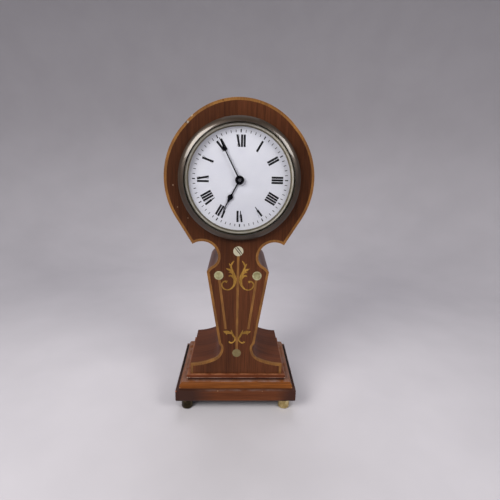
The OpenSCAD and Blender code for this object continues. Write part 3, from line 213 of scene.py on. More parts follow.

# %% [markdown]
# ## French-polished mahogany
# Mahogany has fine brown streaks along the grain, broad lighter and darker bands, and short dark pores.
# French polish fills it with shellac, so it is smooth with a soft gloss. All three patterns are one noise
# at three scales, on coordinates that are stretched along the grain. The grain runs differently in each
# piece, so the streak's size along x, y and z is given, and a mask can switch to a second direction. Over
# the wood go veils of painted shade that darken it by height, bands that are painted highlights on arrises
# and painted shade in quirks, and marks: small chips and specks, and some painted highlights.

# %% Marks and veils of painted shade
def add_marks(tree, place, colour, marks):
    """Lay small round marks over a colour. A mark is x, y, z and radius in mm, and its tone."""
    for x, y, z, r, tone in marks:
        far = add(tree, "ShaderNodeVectorMath", {0: place, 1: [x * MM, y * MM, z * MM]}, give="Value",
                  operation="DISTANCE")
        spot = add(tree, "ShaderNodeMapRange", {"Value": far, "From Min": r * MM, "From Max": r * MM * 0.5})
        colour = add(tree, "ShaderNodeMix", {0: spot, 6: colour, 7: linear(tone)}, give=2, data_type="RGBA")
    return colour


# A ramp runs from 0 to 1, so a veil's height is divided by one in mm that is just above the clock.
VEIL_TOP = 250


def add_veils(tree, place, colour, shade_veils):
    """Multiply a colour by greys of painted shade, each given with its height in mm."""
    if not shade_veils:
        return colour
    height = add(tree, "ShaderNodeSeparateXYZ", {0: place}, give="Z")
    level = add(tree, "ShaderNodeMath", {0: height, 1: VEIL_TOP * MM}, operation="DIVIDE")
    veil = add(tree, "ShaderNodeValToRGB", {"Fac": level},
               stops=[(z / VEIL_TOP, tone) for z, tone in shade_veils])
    return add(tree, "ShaderNodeMix", {0: 1.0, 6: colour, 7: veil}, give=2, data_type="RGBA",
               blend_type="MULTIPLY")


print("veils can reach up to, in mm:", VEIL_TOP)

# %% Mahogany
HIGHLIGHT_PATCH, SHADE_EDGE = 7, 0.3


def polished_mahogany(name, tones, streak, cross=None, split=None, bands=(), marks=(), shade_veils=None,
                      quirk=None):
    """Wood with streaks of a size in mm along x, y and z, where a mask may switch to the cross direction.

    The tones are dark, middle and light streaks, and pores. A band is its height and half width in mm, its
    tone, and whether it is patchy. A quirk is the corner that painted shade reaches out to, and its tone.
    """
    material, tree, place = start_finish(name)
    grain = add(tree, "ShaderNodeMapping", {"Vector": place, "Scale": [1 / (s * MM) for s in streak]})
    if cross:
        other = add(tree, "ShaderNodeMapping", {"Vector": place, "Scale": [1 / (s * MM) for s in cross]})
        grain = add(tree, "ShaderNodeMix", {0: split(tree, place), 4: grain, 5: other}, give=1,
                    data_type="VECTOR")
    lines = add(tree, "ShaderNodeTexNoise", {"Vector": grain, "Scale": 1.0, "Detail": 3.0,
                                             "Roughness": 0.6, "Distortion": 0.4}, give="Fac")
    broad = add(tree, "ShaderNodeTexNoise", {"Vector": grain, "Scale": 0.09, "Detail": 2.0}, give="Fac")
    pores = add(tree, "ShaderNodeTexNoise", {"Vector": grain, "Scale": 2.6, "Detail": 1.0}, give="Fac")
    figure = add(tree, "ShaderNodeMix", {0: 0.45, 2: lines, 3: broad}, data_type="FLOAT")
    colour = add(tree, "ShaderNodeValToRGB", {"Fac": figure},
                 stops=[(0.32, tones[0]), (0.5, tones[1]), (0.68, tones[2])])
    dark = add(tree, "ShaderNodeMapRange", {"Value": pores, "From Min": 0.58, "From Max": 0.74,
                                            "To Min": 0.0, "To Max": 0.5})
    colour = add(tree, "ShaderNodeMix", {0: dark, 6: colour, 7: linear(tones[3])}, give=2,
                 data_type="RGBA")
    colour = add_veils(tree, place, colour, shade_veils)
    height = add(tree, "ShaderNodeSeparateXYZ", {0: place}, give="Z")
    for level, band, tone, patchy in bands:
        off = add(tree, "ShaderNodeMath", {0: height, 1: level * MM}, operation="SUBTRACT")
        off = add(tree, "ShaderNodeMath", {0: off}, operation="ABSOLUTE")
        mask = add(tree, "ShaderNodeMapRange", {"Value": off, "From Min": band * MM,
                                                "From Max": band * MM * 0.6})
        if patchy:
            patch = add(tree, "ShaderNodeTexNoise", {"Vector": place, "Scale": 1 / (HIGHLIGHT_PATCH * MM),
                                                     "Detail": 4.0}, give="Fac")
            patch = add(tree, "ShaderNodeMapRange", {"Value": patch, "From Min": 0.35, "From Max": 0.65})
            mask = add(tree, "ShaderNodeMath", {0: mask, 1: patch}, operation="MULTIPLY")
        colour = add(tree, "ShaderNodeMix", {0: mask, 6: colour, 7: linear(tone)}, give=2, data_type="RGBA")
    if quirk:
        corner, tone = quirk
        beyond = add(tree, "ShaderNodeVectorMath", {0: place}, operation="ABSOLUTE")
        beyond = add(tree, "ShaderNodeVectorMath", {0: beyond, 1: corner}, operation="SUBTRACT")
        beyond = add(tree, "ShaderNodeSeparateXYZ", {0: beyond}, give="X").node.outputs
        edge = add(tree, "ShaderNodeMath", {0: beyond["X"], 1: beyond["Y"]}, operation="MAXIMUM")
        mask = add(tree, "ShaderNodeMapRange", {"Value": edge, "From Min": SHADE_EDGE * MM, "From Max": 0.0})
        colour = add(tree, "ShaderNodeMix", {0: mask, 6: colour, 7: linear(tone)}, give=2, data_type="RGBA")
    colour = add_marks(tree, place, colour, marks)
    rough = add(tree, "ShaderNodeMapRange", {"Value": figure, "To Min": 0.27, "To Max": 0.44})
    relief = add(tree, "ShaderNodeBump", {"Height": pores, "Strength": 0.12, "Distance": 0.15 * MM})
    close_finish(tree, {"Base Color": colour, "Roughness": rough, "Normal": relief,
                        "Specular IOR Level": 0.08, "Coat Weight": 0.06, "Coat Roughness": 0.14})
    return material


# The patches break up the painted highlights on the arrises, and the soft edge is that of the painted shade
# in the quirks.
print("patches of wear in mm:", HIGHLIGHT_PATCH, "soft edge of dirt in mm:", SHADE_EDGE)

# %% Masks for the grain
FACING = 0.7


def facing_front(tree, place):
    """A mask of the front and back faces, from the object's own normal."""
    normal = add(tree, "ShaderNodeTexCoord", give="Normal")
    depth = add(tree, "ShaderNodeSeparateXYZ", {0: normal}, give="Y")
    depth = add(tree, "ShaderNodeMath", {0: depth}, operation="ABSOLUTE")
    return add(tree, "ShaderNodeMath", {0: depth, 1: FACING}, operation="GREATER_THAN")


def mitred(half_x, half_y):
    """A mask of the side lengths of a frame that is mitred at its corners, from its half sizes."""
    def split(tree, place):
        x = add(tree, "ShaderNodeSeparateXYZ", {0: place}, give="X")
        y = add(tree, "ShaderNodeMath", {0: x.node.outputs["Y"]}, operation="ABSOLUTE")
        x = add(tree, "ShaderNodeMath", {0: x}, operation="ABSOLUTE")
        gap = add(tree, "ShaderNodeMath", {0: x, 1: y}, operation="SUBTRACT")
        return add(tree, "ShaderNodeMath", {0: gap, 1: half_x - half_y}, operation="GREATER_THAN")
    return split


print("a face is a front from a normal of:", FACING)

# %% The case and its front
# Streaks of about 1.2 mm by 40 mm, the pores among them about 0.45 mm by 15 mm, drawn a little coarse.
upright, round_case, along_x, along_y = (1.2, 1.2, 40), (40, 1.2, 40), (40, 1.2, 1.2), (1.2, 40, 1.2)
front_tones = ["#3d2114", "#4f2c19", "#5f3520", "#28130b"]
case_tones = ["#381b10", "#4c2818", "#5f341f", "#241008"]
finishes = {}
finishes["case_mahogany"] = polished_mahogany("case_mahogany", case_tones, round_case, upright,
                                              facing_front)
specks = [(-48.7, -30.75, 187.6, 0.5, "#8d7661"), (-45.8, -30.75, 171.5, 0.5, "#7c634e"),
          (-38.2, -30.75, 163.4, 0.5, "#7c634e")]
# Painted shade: the veneer round the bezel is painted darker than the body and the crown.
shade_veils = [(116, "#ececec"), (132, "#d4d4d4"), (150, "#c0c0c0"), (166, "#b8b8b8"), (216, "#bababa"),
         (232, "#c6c6c6"), (246, "#dcdcdc")]
finishes["front_mahogany"] = polished_mahogany("front_mahogany", front_tones, upright, marks=specks,
                                               shade_veils=shade_veils)
print("case finishes:", sorted(finishes))

# %% The three tiers of the plinth
# The bands are painted highlights on the arrises, broken in patches, and painted shade in the quirks.
# On the slab's top, painted shade reaches out from the moulding to 0.5 mm from the ends and 2.5 mm from the
# front.
# The two wide marks make the slab darker towards its ends; the small ones are nicks.
slab_ends_and_nicks = [(-54, -39.3, 13, 38, "#34201a"), (56, -39.3, 13, 24, "#38211a"),
         (-15.1, -39.3, 20.8, 0.7, "#94765e"), (21.9, -39.3, 20.4, 0.5, "#84664f"),
         (-49.7, -39.3, 20.4, 0.9, "#8a4c33")]
# Painted highlights at the ends of the nosing.
nosing_highlights = [(-40.6, -32.9, 28.9, 0.9, "#8d7a6e"), (-38.9, -32.9, 29.2, 0.6, "#7d6557"),
               (40.9, -32.9, 28.9, 0.7, "#8d7a6e")]
# Painted highlights along the moulding's mitres; the two dark marks added after them are nicks.
mitre_highlights_and_knocks = [(side * x, y, z, 0.9, "#9a7d69") for side in (-1, 1) for x, y, z in
               ((46.7, -36.1, 21.9), (46.0, -35.4, 23.2), (45.3, -34.7, 24.4))]
mitre_highlights_and_knocks += [(-13.8, -36.0, 23.0, 0.5, "#33190c"), (17.5, -36.2, 22.4, 0.4, "#33190c")]
tiers = (
    ("plinth_step", ["#45210f", "#592c18", "#6c3a20", "#2a1409"],
     [(31.8, 0.5, "#7d5137", True), (28.9, 0.45, "#84685b", True), (27.4, 1.3, "#341e17", False)],
     nosing_highlights, None),
    ("plinth_moulding", ["#4f2a11", "#653816", "#7a481e", "#2d170a"],
     [(26.4, 0.5, "#70564d", True), (21.0, 0.6, "#4c2d1f", False)], mitre_highlights_and_knocks, None),
    ("plinth_base", ["#40210f", "#572f1b", "#683c24", "#250f07"],
     [(20.8, 0.4, "#5f4840", True)], slab_ends_and_nicks, (0.5, 2.5)),
)
for tier, tones, bands, marks, shade in tiers:
    low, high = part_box(tier)
    split = mitred(high.x, high.y)
    # The quirk's near black tone is painted shade on the slab's top round the moulding.
    quirk = shade and ([high.x - shade[0] * MM, high.y - shade[1] * MM, 1], "#120b09")
    finishes[tier] = polished_mahogany(tier + "_mahogany", tones, along_x, along_y, split, bands, marks,
                                       quirk=quirk)
print("mahogany finishes:", len(finishes))

# %% [markdown]
# ## Inlay woods and pearl
# The stringing is boxwood, a dense tan wood with hardly any pores, gone orange under old polish. The
# scrolls are satinwood, more golden, with a silky cross figure. The roundels are mother-of-pearl: thin
# layers of shell that show as bent bands of green-grey and cream.

# %% Boxwood and satinwood
CLOUD = 14


def inlay_wood(name, tones, streak, gloss, marks=()):
    """A pale inlay wood: fine streaks of a size in mm along x, y and z, and a broad, cloudy tone."""
    material, tree, place = start_finish(name)
    grain = add(tree, "ShaderNodeMapping", {"Vector": place, "Scale": [1 / (s * MM) for s in streak]})
    lines = add(tree, "ShaderNodeTexNoise", {"Vector": grain, "Scale": 1.0, "Detail": 3.0}, give="Fac")
    cloud = add(tree, "ShaderNodeTexNoise", {"Vector": place, "Scale": 1 / (CLOUD * MM), "Detail": 3.0},
                give="Fac")
    figure = add(tree, "ShaderNodeMix", {0: 0.6, 2: lines, 3: cloud}, data_type="FLOAT")
    colour = add(tree, "ShaderNodeValToRGB", {"Fac": figure},
                 stops=[(0.36, tones[0]), (0.5, tones[1]), (0.64, tones[2])])
    colour = add_marks(tree, place, colour, marks)
    rough = add(tree, "ShaderNodeMapRange", {"Value": lines, "To Min": gloss - 0.06, "To Max": gloss + 0.1})
    relief = add(tree, "ShaderNodeBump", {"Height": lines, "Strength": 0.1, "Distance": 0.1 * MM})
    close_finish(tree, {"Base Color": colour, "Roughness": rough, "Normal": relief,
                        "Specular IOR Level": 0.1, "Coat Weight": 0.08, "Coat Roughness": 0.15})
    return material


# The stringing round the head has two chips on the left, painted as pale highlights, one of them with
# painted shade beside it, and a dark spot near the top.
chips_with_painted_light = [(-34.6, -30.75, 236.4, 1.2, "#ad997e"), (-37.2, -30.75, 231.7, 1.1, "#84786b"),
         (-38.5, -30.75, 231.6, 1.0, "#463830"), (-12.5, -30.75, 246.8, 0.7, "#4a2c14")]
finishes["boxwood"] = inlay_wood("polished_boxwood", ["#5a3c22", "#6b4825", "#7d572d"], (0.6, 0.6, 6),
                                 0.34, chips_with_painted_light)
finishes["satinwood"] = inlay_wood("polished_satinwood", ["#5d431b", "#7c5c28", "#9b7736"],
                                   (0.5, 0.5, 2.5), 0.34)
print("inlay woods: boxwood, satinwood")

# %% Mother-of-pearl
# Radii and heights of the roundels, in mm: one at the crown, two at the sides, one at the foot.
CROWN_R, SIDE_R, SIDE_Z = 3.9, 3.6, 118.4
OVER_SIDES, UNDER_SIDES = 130, 80

pearl, tree, place = start_finish("mother_of_pearl")
low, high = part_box("pearl_roundels")
crown_z = high.z - CROWN_R * MM

# Two growth lines cross the crown roundel, down to the right, bent by a noise of 3 mm.
bend = add(tree, "ShaderNodeTexNoise", {"Vector": place, "Scale": 1 / (3 * MM), "Detail": 2.0},
           give="Color")
bent = add(tree, "ShaderNodeVectorMath", {0: bend, 1: [1.2 * MM] * 3, 2: place}, operation="MULTIPLY_ADD")
across = add(tree, "ShaderNodeVectorMath", {0: bent, 1: [0.8, 0, 0.6]}, give="Value",
             operation="DOT_PRODUCT")
streaks = linear("#9a9482")
for at, half_w in ((1.84, 0.4), (0.44, 0.3)):
    off = add(tree, "ShaderNodeMath", {0: across, 1: 0.6 * crown_z + at * MM}, operation="SUBTRACT")
    off = add(tree, "ShaderNodeMath", {0: off}, operation="ABSOLUTE")
    line = add(tree, "ShaderNodeMapRange", {"Value": off, "From Min": 1.6 * half_w * MM,
                                            "From Max": 0.5 * half_w * MM})
    streaks = add(tree, "ShaderNodeMix", {0: line, 6: streaks, 7: linear("#3d372b")}, give=2,
                  data_type="RGBA")

# The other three have plain, cloudy shell, and the one at the foot has yellowed.
cloud = add(tree, "ShaderNodeTexNoise", {"Vector": place, "Scale": 1 / (3.5 * MM), "Detail": 2.0},
            give="Fac")
plain = add(tree, "ShaderNodeValToRGB", {"Fac": cloud},
            stops=[(0.3, "#66613f"), (0.5, "#7c7756"), (0.7, "#948f6c")])
height = add(tree, "ShaderNodeSeparateXYZ", {0: place}, give="Z")
crown = add(tree, "ShaderNodeMath", {0: height, 1: OVER_SIDES * MM}, operation="GREATER_THAN")
lowest = add(tree, "ShaderNodeMath", {0: height, 1: UNDER_SIDES * MM}, operation="LESS_THAN")
lowest = add(tree, "ShaderNodeMath", {0: lowest, 1: 0.85}, operation="MULTIPLY")
colour = add(tree, "ShaderNodeMix", {0: crown, 6: plain, 7: streaks}, give=2, data_type="RGBA")

# Painted highlight: the crown and side roundels are painted paler towards their rims, as a domed rim
# would catch the light.
side_x, side_z = high.x - SIDE_R * MM, SIDE_Z * MM
rim_highlight = None
for x, z, r in ((0, crown_z, CROWN_R), (-side_x, side_z, SIDE_R), (side_x, side_z, SIDE_R)):
    far = add(tree, "ShaderNodeVectorMath", {0: place, 1: [x, low.y, z]}, give="Value",
              operation="DISTANCE")
    near = add(tree, "ShaderNodeMapRange", {"Value": far, "From Min": r * MM * 0.6,
                                            "From Max": r * MM * 0.95})
    rim_highlight = near if rim_highlight is None else add(tree, "ShaderNodeMath", {0: rim_highlight, 1: near}, operation="MINIMUM")
rim_highlight = add(tree, "ShaderNodeMath", {0: rim_highlight, 1: 0.3}, operation="MULTIPLY")
colour = add(tree, "ShaderNodeMix", {0: rim_highlight, 6: colour, 7: linear("#a9a486")}, give=2, data_type="RGBA")
colour = add(tree, "ShaderNodeMix", {0: lowest, 6: colour, 7: linear("#594822")}, give=2,
             data_type="RGBA")
close_finish(tree, {"Base Color": colour, "Roughness": 0.24, "Coat Weight": 0.2, "Coat Roughness": 0.08})
finishes["pearl"] = pearl
print("mother-of-pearl nodes:", len(tree.nodes))

# %% [markdown]
# ## Metals
# Old lacquered brass goes olive-brown. A metal's colour is its reflection, so each one is a metallic base
# with a change of tone, and scratches or turning lines that change the gloss and a little of the tone. What
# was turned on a lathe, such as the bezel, the door and its ring, has lines that are circles. A dark lip
# inside the bezel's inner edge is painted shade. Bronzing and silvering are chalky skins, so those two
# finishes are only partly metallic.

# %% Metal finishes
SCRATCH_DEPTH = 0.05


def metal(name, tones, streak, gloss, patch, turned_at=None, lacquer=0.0, lip=None, chalk=0.0, shade_veils=None):
    """A metal with patches of tone a given mm wide, and fine lines of a size in mm along x, y and z.

    Turned lines go round a height in metres. A lip is the radius in mm inside which another tone shows,
    that tone, and half its fade in mm. Lacquer is a clear coat, and chalk is how much of the metal is dull.
    """
    material, tree, place = start_finish(name)
    cloud = add(tree, "ShaderNodeTexNoise", {"Vector": place, "Scale": 1 / (patch * MM), "Detail": 5.0},
                give="Fac")
    colour = add(tree, "ShaderNodeValToRGB", {"Fac": cloud},
                 stops=[(0.35, tones[0]), (0.52, tones[1]), (0.68, tones[2])])
    lined = add(tree, "ShaderNodeMapping", {"Vector": place, "Scale": [1 / (s * MM) for s in streak]})
    if turned_at is not None:
        centred = add(tree, "ShaderNodeVectorMath", {0: place, 1: [0, 0, turned_at]}, operation="SUBTRACT")
        flat = add(tree, "ShaderNodeVectorMath", {0: centred, 1: [1, 0, 1]}, operation="MULTIPLY")
        radius = add(tree, "ShaderNodeVectorMath", {0: flat}, give="Value", operation="LENGTH")
        turns = add(tree, "ShaderNodeMath", {0: radius, 1: 1 / (streak[0] * MM)}, operation="MULTIPLY")
        lined = add(tree, "ShaderNodeCombineXYZ", {0: turns})
        if lip:
            at, tone, fade = lip
            inside = add(tree, "ShaderNodeMapRange", {"Value": radius, "From Min": (at + fade) * MM,
                                                      "From Max": (at - fade) * MM})
            colour = add(tree, "ShaderNodeMix", {0: inside, 6: colour, 7: linear(tone)}, give=2,
                         data_type="RGBA")
    lines = add(tree, "ShaderNodeTexNoise", {"Vector": lined, "Scale": 1.0, "Detail": 2.0}, give="Fac")
    worn = add(tree, "ShaderNodeMapRange", {"Value": lines, "From Min": 0.4, "From Max": 0.75,
                                            "To Max": 0.35})
    colour = add(tree, "ShaderNodeMix", {0: worn, 6: colour, 7: linear(tones[0])}, give=2, data_type="RGBA")
    colour = add_veils(tree, place, colour, shade_veils)
    rough = add(tree, "ShaderNodeMath", {0: lines, 1: 0.22, 2: gloss - 0.11}, operation="MULTIPLY_ADD")
    dull = add(tree, "ShaderNodeMath", {0: cloud, 1: -0.2, 2: 0.1}, operation="MULTIPLY_ADD")
    rough = add(tree, "ShaderNodeMath", {0: rough, 1: dull}, operation="ADD", use_clamp=True)
    relief = add(tree, "ShaderNodeBump", {"Height": lines, "Strength": 0.1, "Distance": SCRATCH_DEPTH * MM})
    close_finish(tree, {"Base Color": colour, "Metallic": 1.0 - chalk, "Roughness": rough, "Normal": relief,
                        "Coat Weight": lacquer, "Coat Roughness": 0.06})
    return material


print("depth of scratches and turned lines in mm:", SCRATCH_DEPTH)

# %% The bezel and its slip
BEZEL_W, BEZEL_LIP, SLIP_LIP_R = 4.2, 0.25, 38.45
low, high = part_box("dial")
dial_centre = (low + high) / 2
dial_face = low.y
bezel_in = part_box("bezel")[1].x / MM - BEZEL_W
# Painted shade: the bezel's inner wall, inside its lip, is painted near black.
finishes["bezel"] = metal("bronzed_brass", ["#2a1e13", "#33261a", "#3d2f21"], (0.35, 0.35, 0.35), 0.36,
                          14.0, dial_centre.z, lacquer=0.5, lip=(bezel_in + BEZEL_LIP, "#14110d", 0.15),
                          chalk=0.6)
# The slip's olive lip is its brass edge, darkened further as painted shade, and its veils are painted shade
# that darkens it towards the bottom.
finishes["slip"] = metal("silvered_brass", ["#cac3b1", "#dcd6c7", "#e9e4d8"], (0.3, 0.3, 0.3), 0.52, 5.0,
                         dial_centre.z, lip=(SLIP_LIP_R, "#6f6548", 0.05), chalk=0.8,
                         shade_veils=[(146, "#b8b8b8"), (165, "#cccccc"), (200, "#ffffff")])
print("dial centre in mm:", [round(c / MM, 2) for c in dial_centre])

# %% Brass and steel
fine = (0.4, 0.4, 0.4)
round_foot = (2.5, 2.5, 0.4)
finishes["turned_brass"] = metal("turned_brass", ["#8c774a", "#a08b57", "#ae9963"], (0.35, 0.35, 0.35),
                                 0.32, 20.0, dial_centre.z)
for finish, name, tones, streak, gloss, patch in (
        ("grained_brass", "grained_brass", ["#9c8650", "#b39c5f", "#c8b377"], (0.3, 8, 8), 0.32, 9.0),
        ("polished_brass", "polished_brass", ["#a58d52", "#bda560", "#d1bb7c"], (0.5, 0.5, 0.5), 0.22, 9.0),
        ("foot_brass", "rubbed_brass", ["#ac9662", "#cbb67f", "#e4d39f"], round_foot, 0.3, 4.0),
        # Painted shade: the front left foot gets a dark brass, as it stands in shadow.
        ("foot_painted_shade", "painted_shade_brass", ["#2c261d", "#403829", "#5c5138"], round_foot, 0.36, 4.0),
        ("steel", "polished_steel", ["#85868a", "#9c9da1", "#b3b4b8"], fine, 0.25, 5.0),
        ("blued_steel", "blued_steel", ["#1b2036", "#252c4a", "#33406a"], fine, 0.26, 4.0),
        ("black_steel", "blacked_steel", ["#0e0e12", "#16161b", "#22222a"], fine, 0.38, 4.0)):
    finishes[finish] = metal(name, tones, streak, gloss, patch)
print("finishes:", len(finishes))

# %% [markdown]
# ## Enamel and glass
# The dial is vitreous enamel: glass fused on copper, cool white with a deep gloss, hardly any change of
# tint and a surface that waves a little. The glass over it is thin and convex. It must let the light through
# to the dial, so it is a clear coat with a low alpha that rises where the surface turns away, as real glass
# reflects more there.

# %% Enamel and glass
TINT_PATCH, WAVE = 16, 5
enamel, tree, place = start_finish("white_enamel")
cloud = add(tree, "ShaderNodeTexNoise", {"Vector": place, "Scale": 1 / (TINT_PATCH * MM), "Detail": 3.0},
            give="Fac")
tint = add(tree, "ShaderNodeValToRGB", {"Fac": cloud}, stops=[(0.3, "#dddfeb"), (0.7, "#e4e6f0")])
wave = add(tree, "ShaderNodeTexNoise", {"Vector": place, "Scale": 1 / (WAVE * MM)}, give="Fac")
relief = add(tree, "ShaderNodeBump", {"Height": wave, "Strength": 0.05, "Distance": 0.1 * MM})
close_finish(tree, {"Base Color": tint, "Roughness": 0.16, "Normal": relief,
                    "Coat Weight": 0.3, "Coat Roughness": 0.04})
finishes["enamel"] = enamel

glass, tree, _ = start_finish("clock_glass")
turned_away = add(tree, "ShaderNodeLayerWeight", {"Blend": 0.25}, give="Fresnel")
cover = add(tree, "ShaderNodeMapRange", {"Value": turned_away, "To Min": 0.04, "To Max": 0.5})
close_finish(tree, {"Base Color": linear("#0b0c0d"), "Roughness": 0.03, "Alpha": cover})
finishes["glass"] = glass
print("finishes with enamel and glass:", len(finishes))

# %% [markdown]
# ## A finish for every CAD node
# Every node already has its shape. Its slots get the finish of the real piece.

# %% Dress the CAD nodes
dressed = {
    "case_mahogany": "case_carcass",
    "front_mahogany": "front_panel",
    "plinth_step": "plinth_step",
    "plinth_moulding": "plinth_moulding",
    "plinth_base": "plinth_base",
    "boxwood": "edge_stringing centre_line side_lines",
    "satinwood": "upper_scrolls lower_scrolls",
    "pearl": "pearl_roundels",
    "bezel": "bezel",
    "slip": "sight_ring",
    "turned_brass": "back_ring back_door movement_drum",
    "grained_brass": "front_plate back_plate platform balance_cock lever_bridge",
    "polished_brass": "door_knob set_knob plate_pillars mainspring_barrel barrel_cover minute_wheel "
                      "hour_wheel centre_wheel third_wheel contrate_wheel balance_wheel",
    "foot_brass": "foot_front_right foot_back_left foot_back_right",
    "foot_painted_shade": "foot_front_left",
    "steel": "plinth_screws back_ring_screws door_hinge_pin front_plate_screws barrel_arbor ratchet_wheel "
             "click cannon_pinion minute_wheel_stud hand_arbor escape_wheel pallet_lever regulator_lever",
    "blued_steel": "pillar_screws click_screws click_spring platform_screws mainspring hairspring",
    "black_steel": "minute_hand hour_hand hand_collet",
    "enamel": "dial",
    "glass": "bezel_glass",
}
for finish, nodes in dressed.items():
    for node in nodes.split():
        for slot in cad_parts[node].material_slots:
            slot.material = finishes[finish]
bare = set(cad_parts) - {node for nodes in dressed.values() for node in nodes.split()}
print("nodes without a finish:", sorted(bare))

# %% [markdown]
# ## The click spring
# A leaf spring holds the click down on the ratchet wheel, and it bends when the click lifts over a tooth. A
# CAD node is rigid, so a copy of its mesh stands for it, and the CAD node is hidden. The copy's doubles are
# merged first, so that the leaf is one skin.

# %% Copy the click spring
SPRING_FOOT, BENDING_SHARE, WELD = 3.2, 0.85, 0.001
leaf = bpy.data.objects.new("click_leaf_spring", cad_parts["click_spring"].data.copy())
scene.collection.objects.link(leaf)
skin = bmesh.new()
skin.from_mesh(leaf.data)
bmesh.ops.remove_doubles(skin, verts=skin.verts, dist=WELD * MM)
skin.to_mesh(leaf.data)
skin.free()
low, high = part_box("click_spring")
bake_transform(leaf)
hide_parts("click_spring")
print("click spring points:", len(leaf.data.vertices))

# %% [markdown]
# ## The print on the dial
# Roman numerals stand on the dial with their feet to the centre. Each is a few straight strokes: bold ones,
# and the hairlines of V and X that hardly show. A ring of minute marks lies outside them. All of it is the
# same bar, repeated, so one Geometry Nodes tree puts a bar on each point of a mesh, turned and sized by
# the point's own attributes. The ink stands a few hundredths of a millimetre proud.

# %% The tree that prints bars
bars = bpy.data.node_groups.new("printed_bars", "GeometryNodeTree")
bars.interface.new_socket("Marks", in_out="INPUT", socket_type="NodeSocketGeometry")
bars.interface.new_socket("Ink Thickness", in_out="INPUT", socket_type="NodeSocketFloat")
bars.interface.new_socket("Ink", in_out="INPUT", socket_type="NodeSocketMaterial")
bars.interface.new_socket("Print", in_out="OUTPUT", socket_type="NodeSocketGeometry")
given = add(bars, "NodeGroupInput").node
block = add(bars, "GeometryNodeMeshCube", {"Size": [1, 1, 1]})
turn, length, width = (add(bars, "GeometryNodeInputNamedAttribute", {"Name": name}, data_type="FLOAT")
                       for name in ("turn", "length", "width"))
spun = add(bars, "FunctionNodeEulerToRotation", {0: add(bars, "ShaderNodeCombineXYZ", {"Y": turn})})
sized = add(bars, "ShaderNodeCombineXYZ", {"X": width, "Y": given.outputs["Ink Thickness"], "Z": length})
placed = add(bars, "GeometryNodeInstanceOnPoints", {"Points": given.outputs["Marks"], "Instance": block,
                                                    "Rotation": spun, "Scale": sized})
real = add(bars, "GeometryNodeRealizeInstances", {"Geometry": placed})
inked = add(bars, "GeometryNodeSetMaterial", {"Geometry": real, "Material": given.outputs["Ink"]})
add(bars, "NodeGroupOutput", {"Print": inked})
print("nodes in the print tree:", len(bars.nodes))

# %% A function that prints a list of marks
# The print was laid half a millimetre off the middle of the enamel, and sinks into it a little.
INK, SUNK = 0.05, 0.01
print_centre = dial_centre + Vector((0.5, 0, 0.3)) * MM


def print_marks(name, marks, ink):
    """Print bars. A mark is an angle in degrees, foot and head as (side, radius), and a width, in mm."""
    points, turns, lengths, widths = [], [], [], []
    for angle, foot, head, wide in marks:
        a = math.radians(angle)
        side, out = (foot[0] + head[0]) / 2, (foot[1] + head[1]) / 2
        points.append((print_centre.x + (out * math.sin(a) + side * math.cos(a)) * MM,
                       dial_face - (INK / 2 - SUNK) * MM,
                       print_centre.z + (out * math.cos(a) - side * math.sin(a)) * MM))
        turns.append(a + math.atan2(head[0] - foot[0], head[1] - foot[1]))
        lengths.append(math.hypot(head[0] - foot[0], head[1] - foot[1]) * MM)
        widths.append(wide * MM)
    mesh = bpy.data.meshes.new(name)
    mesh.from_pydata(points, [], [])
    for label, values in (("turn", turns), ("length", lengths), ("width", widths)):
        mesh.attributes.new(label, "FLOAT", "POINT").data.foreach_set("value", values)
    marker = bpy.data.objects.new(name + "_points", mesh)
    scene.collection.objects.link(marker)
    press = marker.modifiers.new("print", "NODES")
    press.node_group = bars
    for socket in bars.interface.items_tree:
        if socket.in_out == "INPUT" and socket.name == "Ink Thickness":
            press[socket.identifier] = INK * MM
        if socket.in_out == "INPUT" and socket.name == "Ink":
            press[socket.identifier] = ink
    seen = marker.evaluated_get(bpy.context.evaluated_depsgraph_get())
    printed = bpy.data.objects.new(name, bpy.data.meshes.new_from_object(seen))
    scene.collection.objects.link(printed)
    bpy.data.objects.remove(marker)
    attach(printed, "case")
    print(name, "bars:", len(marks), "faces:", len(printed.data.polygons))


print("middle of the print in mm:", [round(c / MM, 2) for c in print_centre])

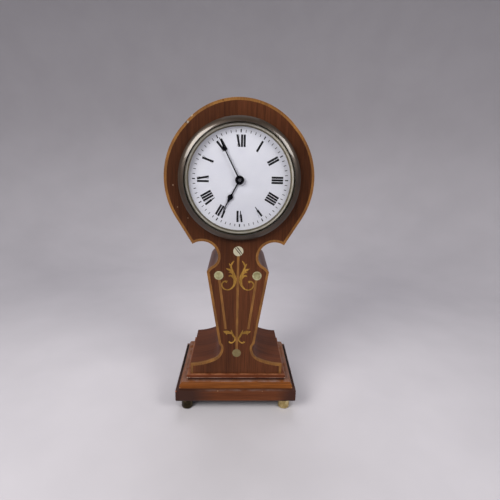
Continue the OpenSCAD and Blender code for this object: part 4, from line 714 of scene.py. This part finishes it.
# %% Draw the numerals
# Sizes in mm: radii of a numeral's foot and head, widths of strokes, and from letter to letter.
FOOT, HEAD, BOLD, FINE = 23.1, 31.7, 1.52, 0.18
HALF = {"I": 0.0, "V": 1.1, "X": 0.8}
SPACING = {"I": 1.9, "V": 2.1, "X": 2.6}
GRIT = 0.6
HOUR_STEP, MINUTE_STEP = 30, 6

ink, tree, place = start_finish("printed_black_ink")
grit = add(tree, "ShaderNodeTexNoise", {"Vector": place, "Scale": 1 / (GRIT * MM), "Detail": 2.0},
           give="Fac")
tint = add(tree, "ShaderNodeValToRGB", {"Fac": grit}, stops=[(0.35, "#09090d"), (0.7, "#14141a")])
close_finish(tree, {"Base Color": tint, "Roughness": 0.4, "Specular IOR Level": 0.25})

strokes, hairs = [], []
for hour, numeral in enumerate("XII I II III IIII V VI VII VIII IX X XI".split()):
    spots = [0.0]
    for before, after in zip(numeral, numeral[1:]):
        spots.append(spots[-1] + SPACING[max(before, after)])
    middle = (spots[0] - HALF[numeral[0]] + spots[-1] + HALF[numeral[-1]]) / 2
    angle = HOUR_STEP * hour
    for letter, spot in zip(numeral, spots):
        side, w = spot - middle, HALF[letter]
        if letter == "I":
            strokes.append((angle, (side, FOOT), (side, HEAD), BOLD))
        if letter == "V":
            # The bold stroke thins near its foot, so a narrow bar goes on to the point.
            strokes.append((angle, (side - 0.3 * w, FOOT + 2.8), (side - w, HEAD), BOLD))
            strokes.append((angle, (side, FOOT), (side - 0.35 * w, FOOT + 3.2), BOLD * 0.4))
            hairs.append((angle, (side, FOOT), (side + w, HEAD), FINE))
        if letter == "X":
            strokes.append((angle, (side + w, FOOT), (side - w, HEAD), BOLD))
            hairs.append((angle, (side - w, FOOT), (side + w, HEAD), FINE))
print_marks("chapter_numerals", strokes, ink)
print_marks("chapter_hairlines", hairs, ink)

# %% Draw the minute track
hour_in, hour_out, hour_w = 33.1, 35.4, 0.8
minute_in, minute_out, minute_w = 33.2, 35.1, 0.48
hours = [(HOUR_STEP * hour, (0, hour_in), (0, hour_out), hour_w) for hour in range(12)]
minutes = [(MINUTE_STEP * minute, (0, minute_in), (0, minute_out), minute_w)
           for minute in range(60) if minute % 5]
print_marks("hour_marks", hours, ink)
print_marks("minute_marks", minutes, ink)
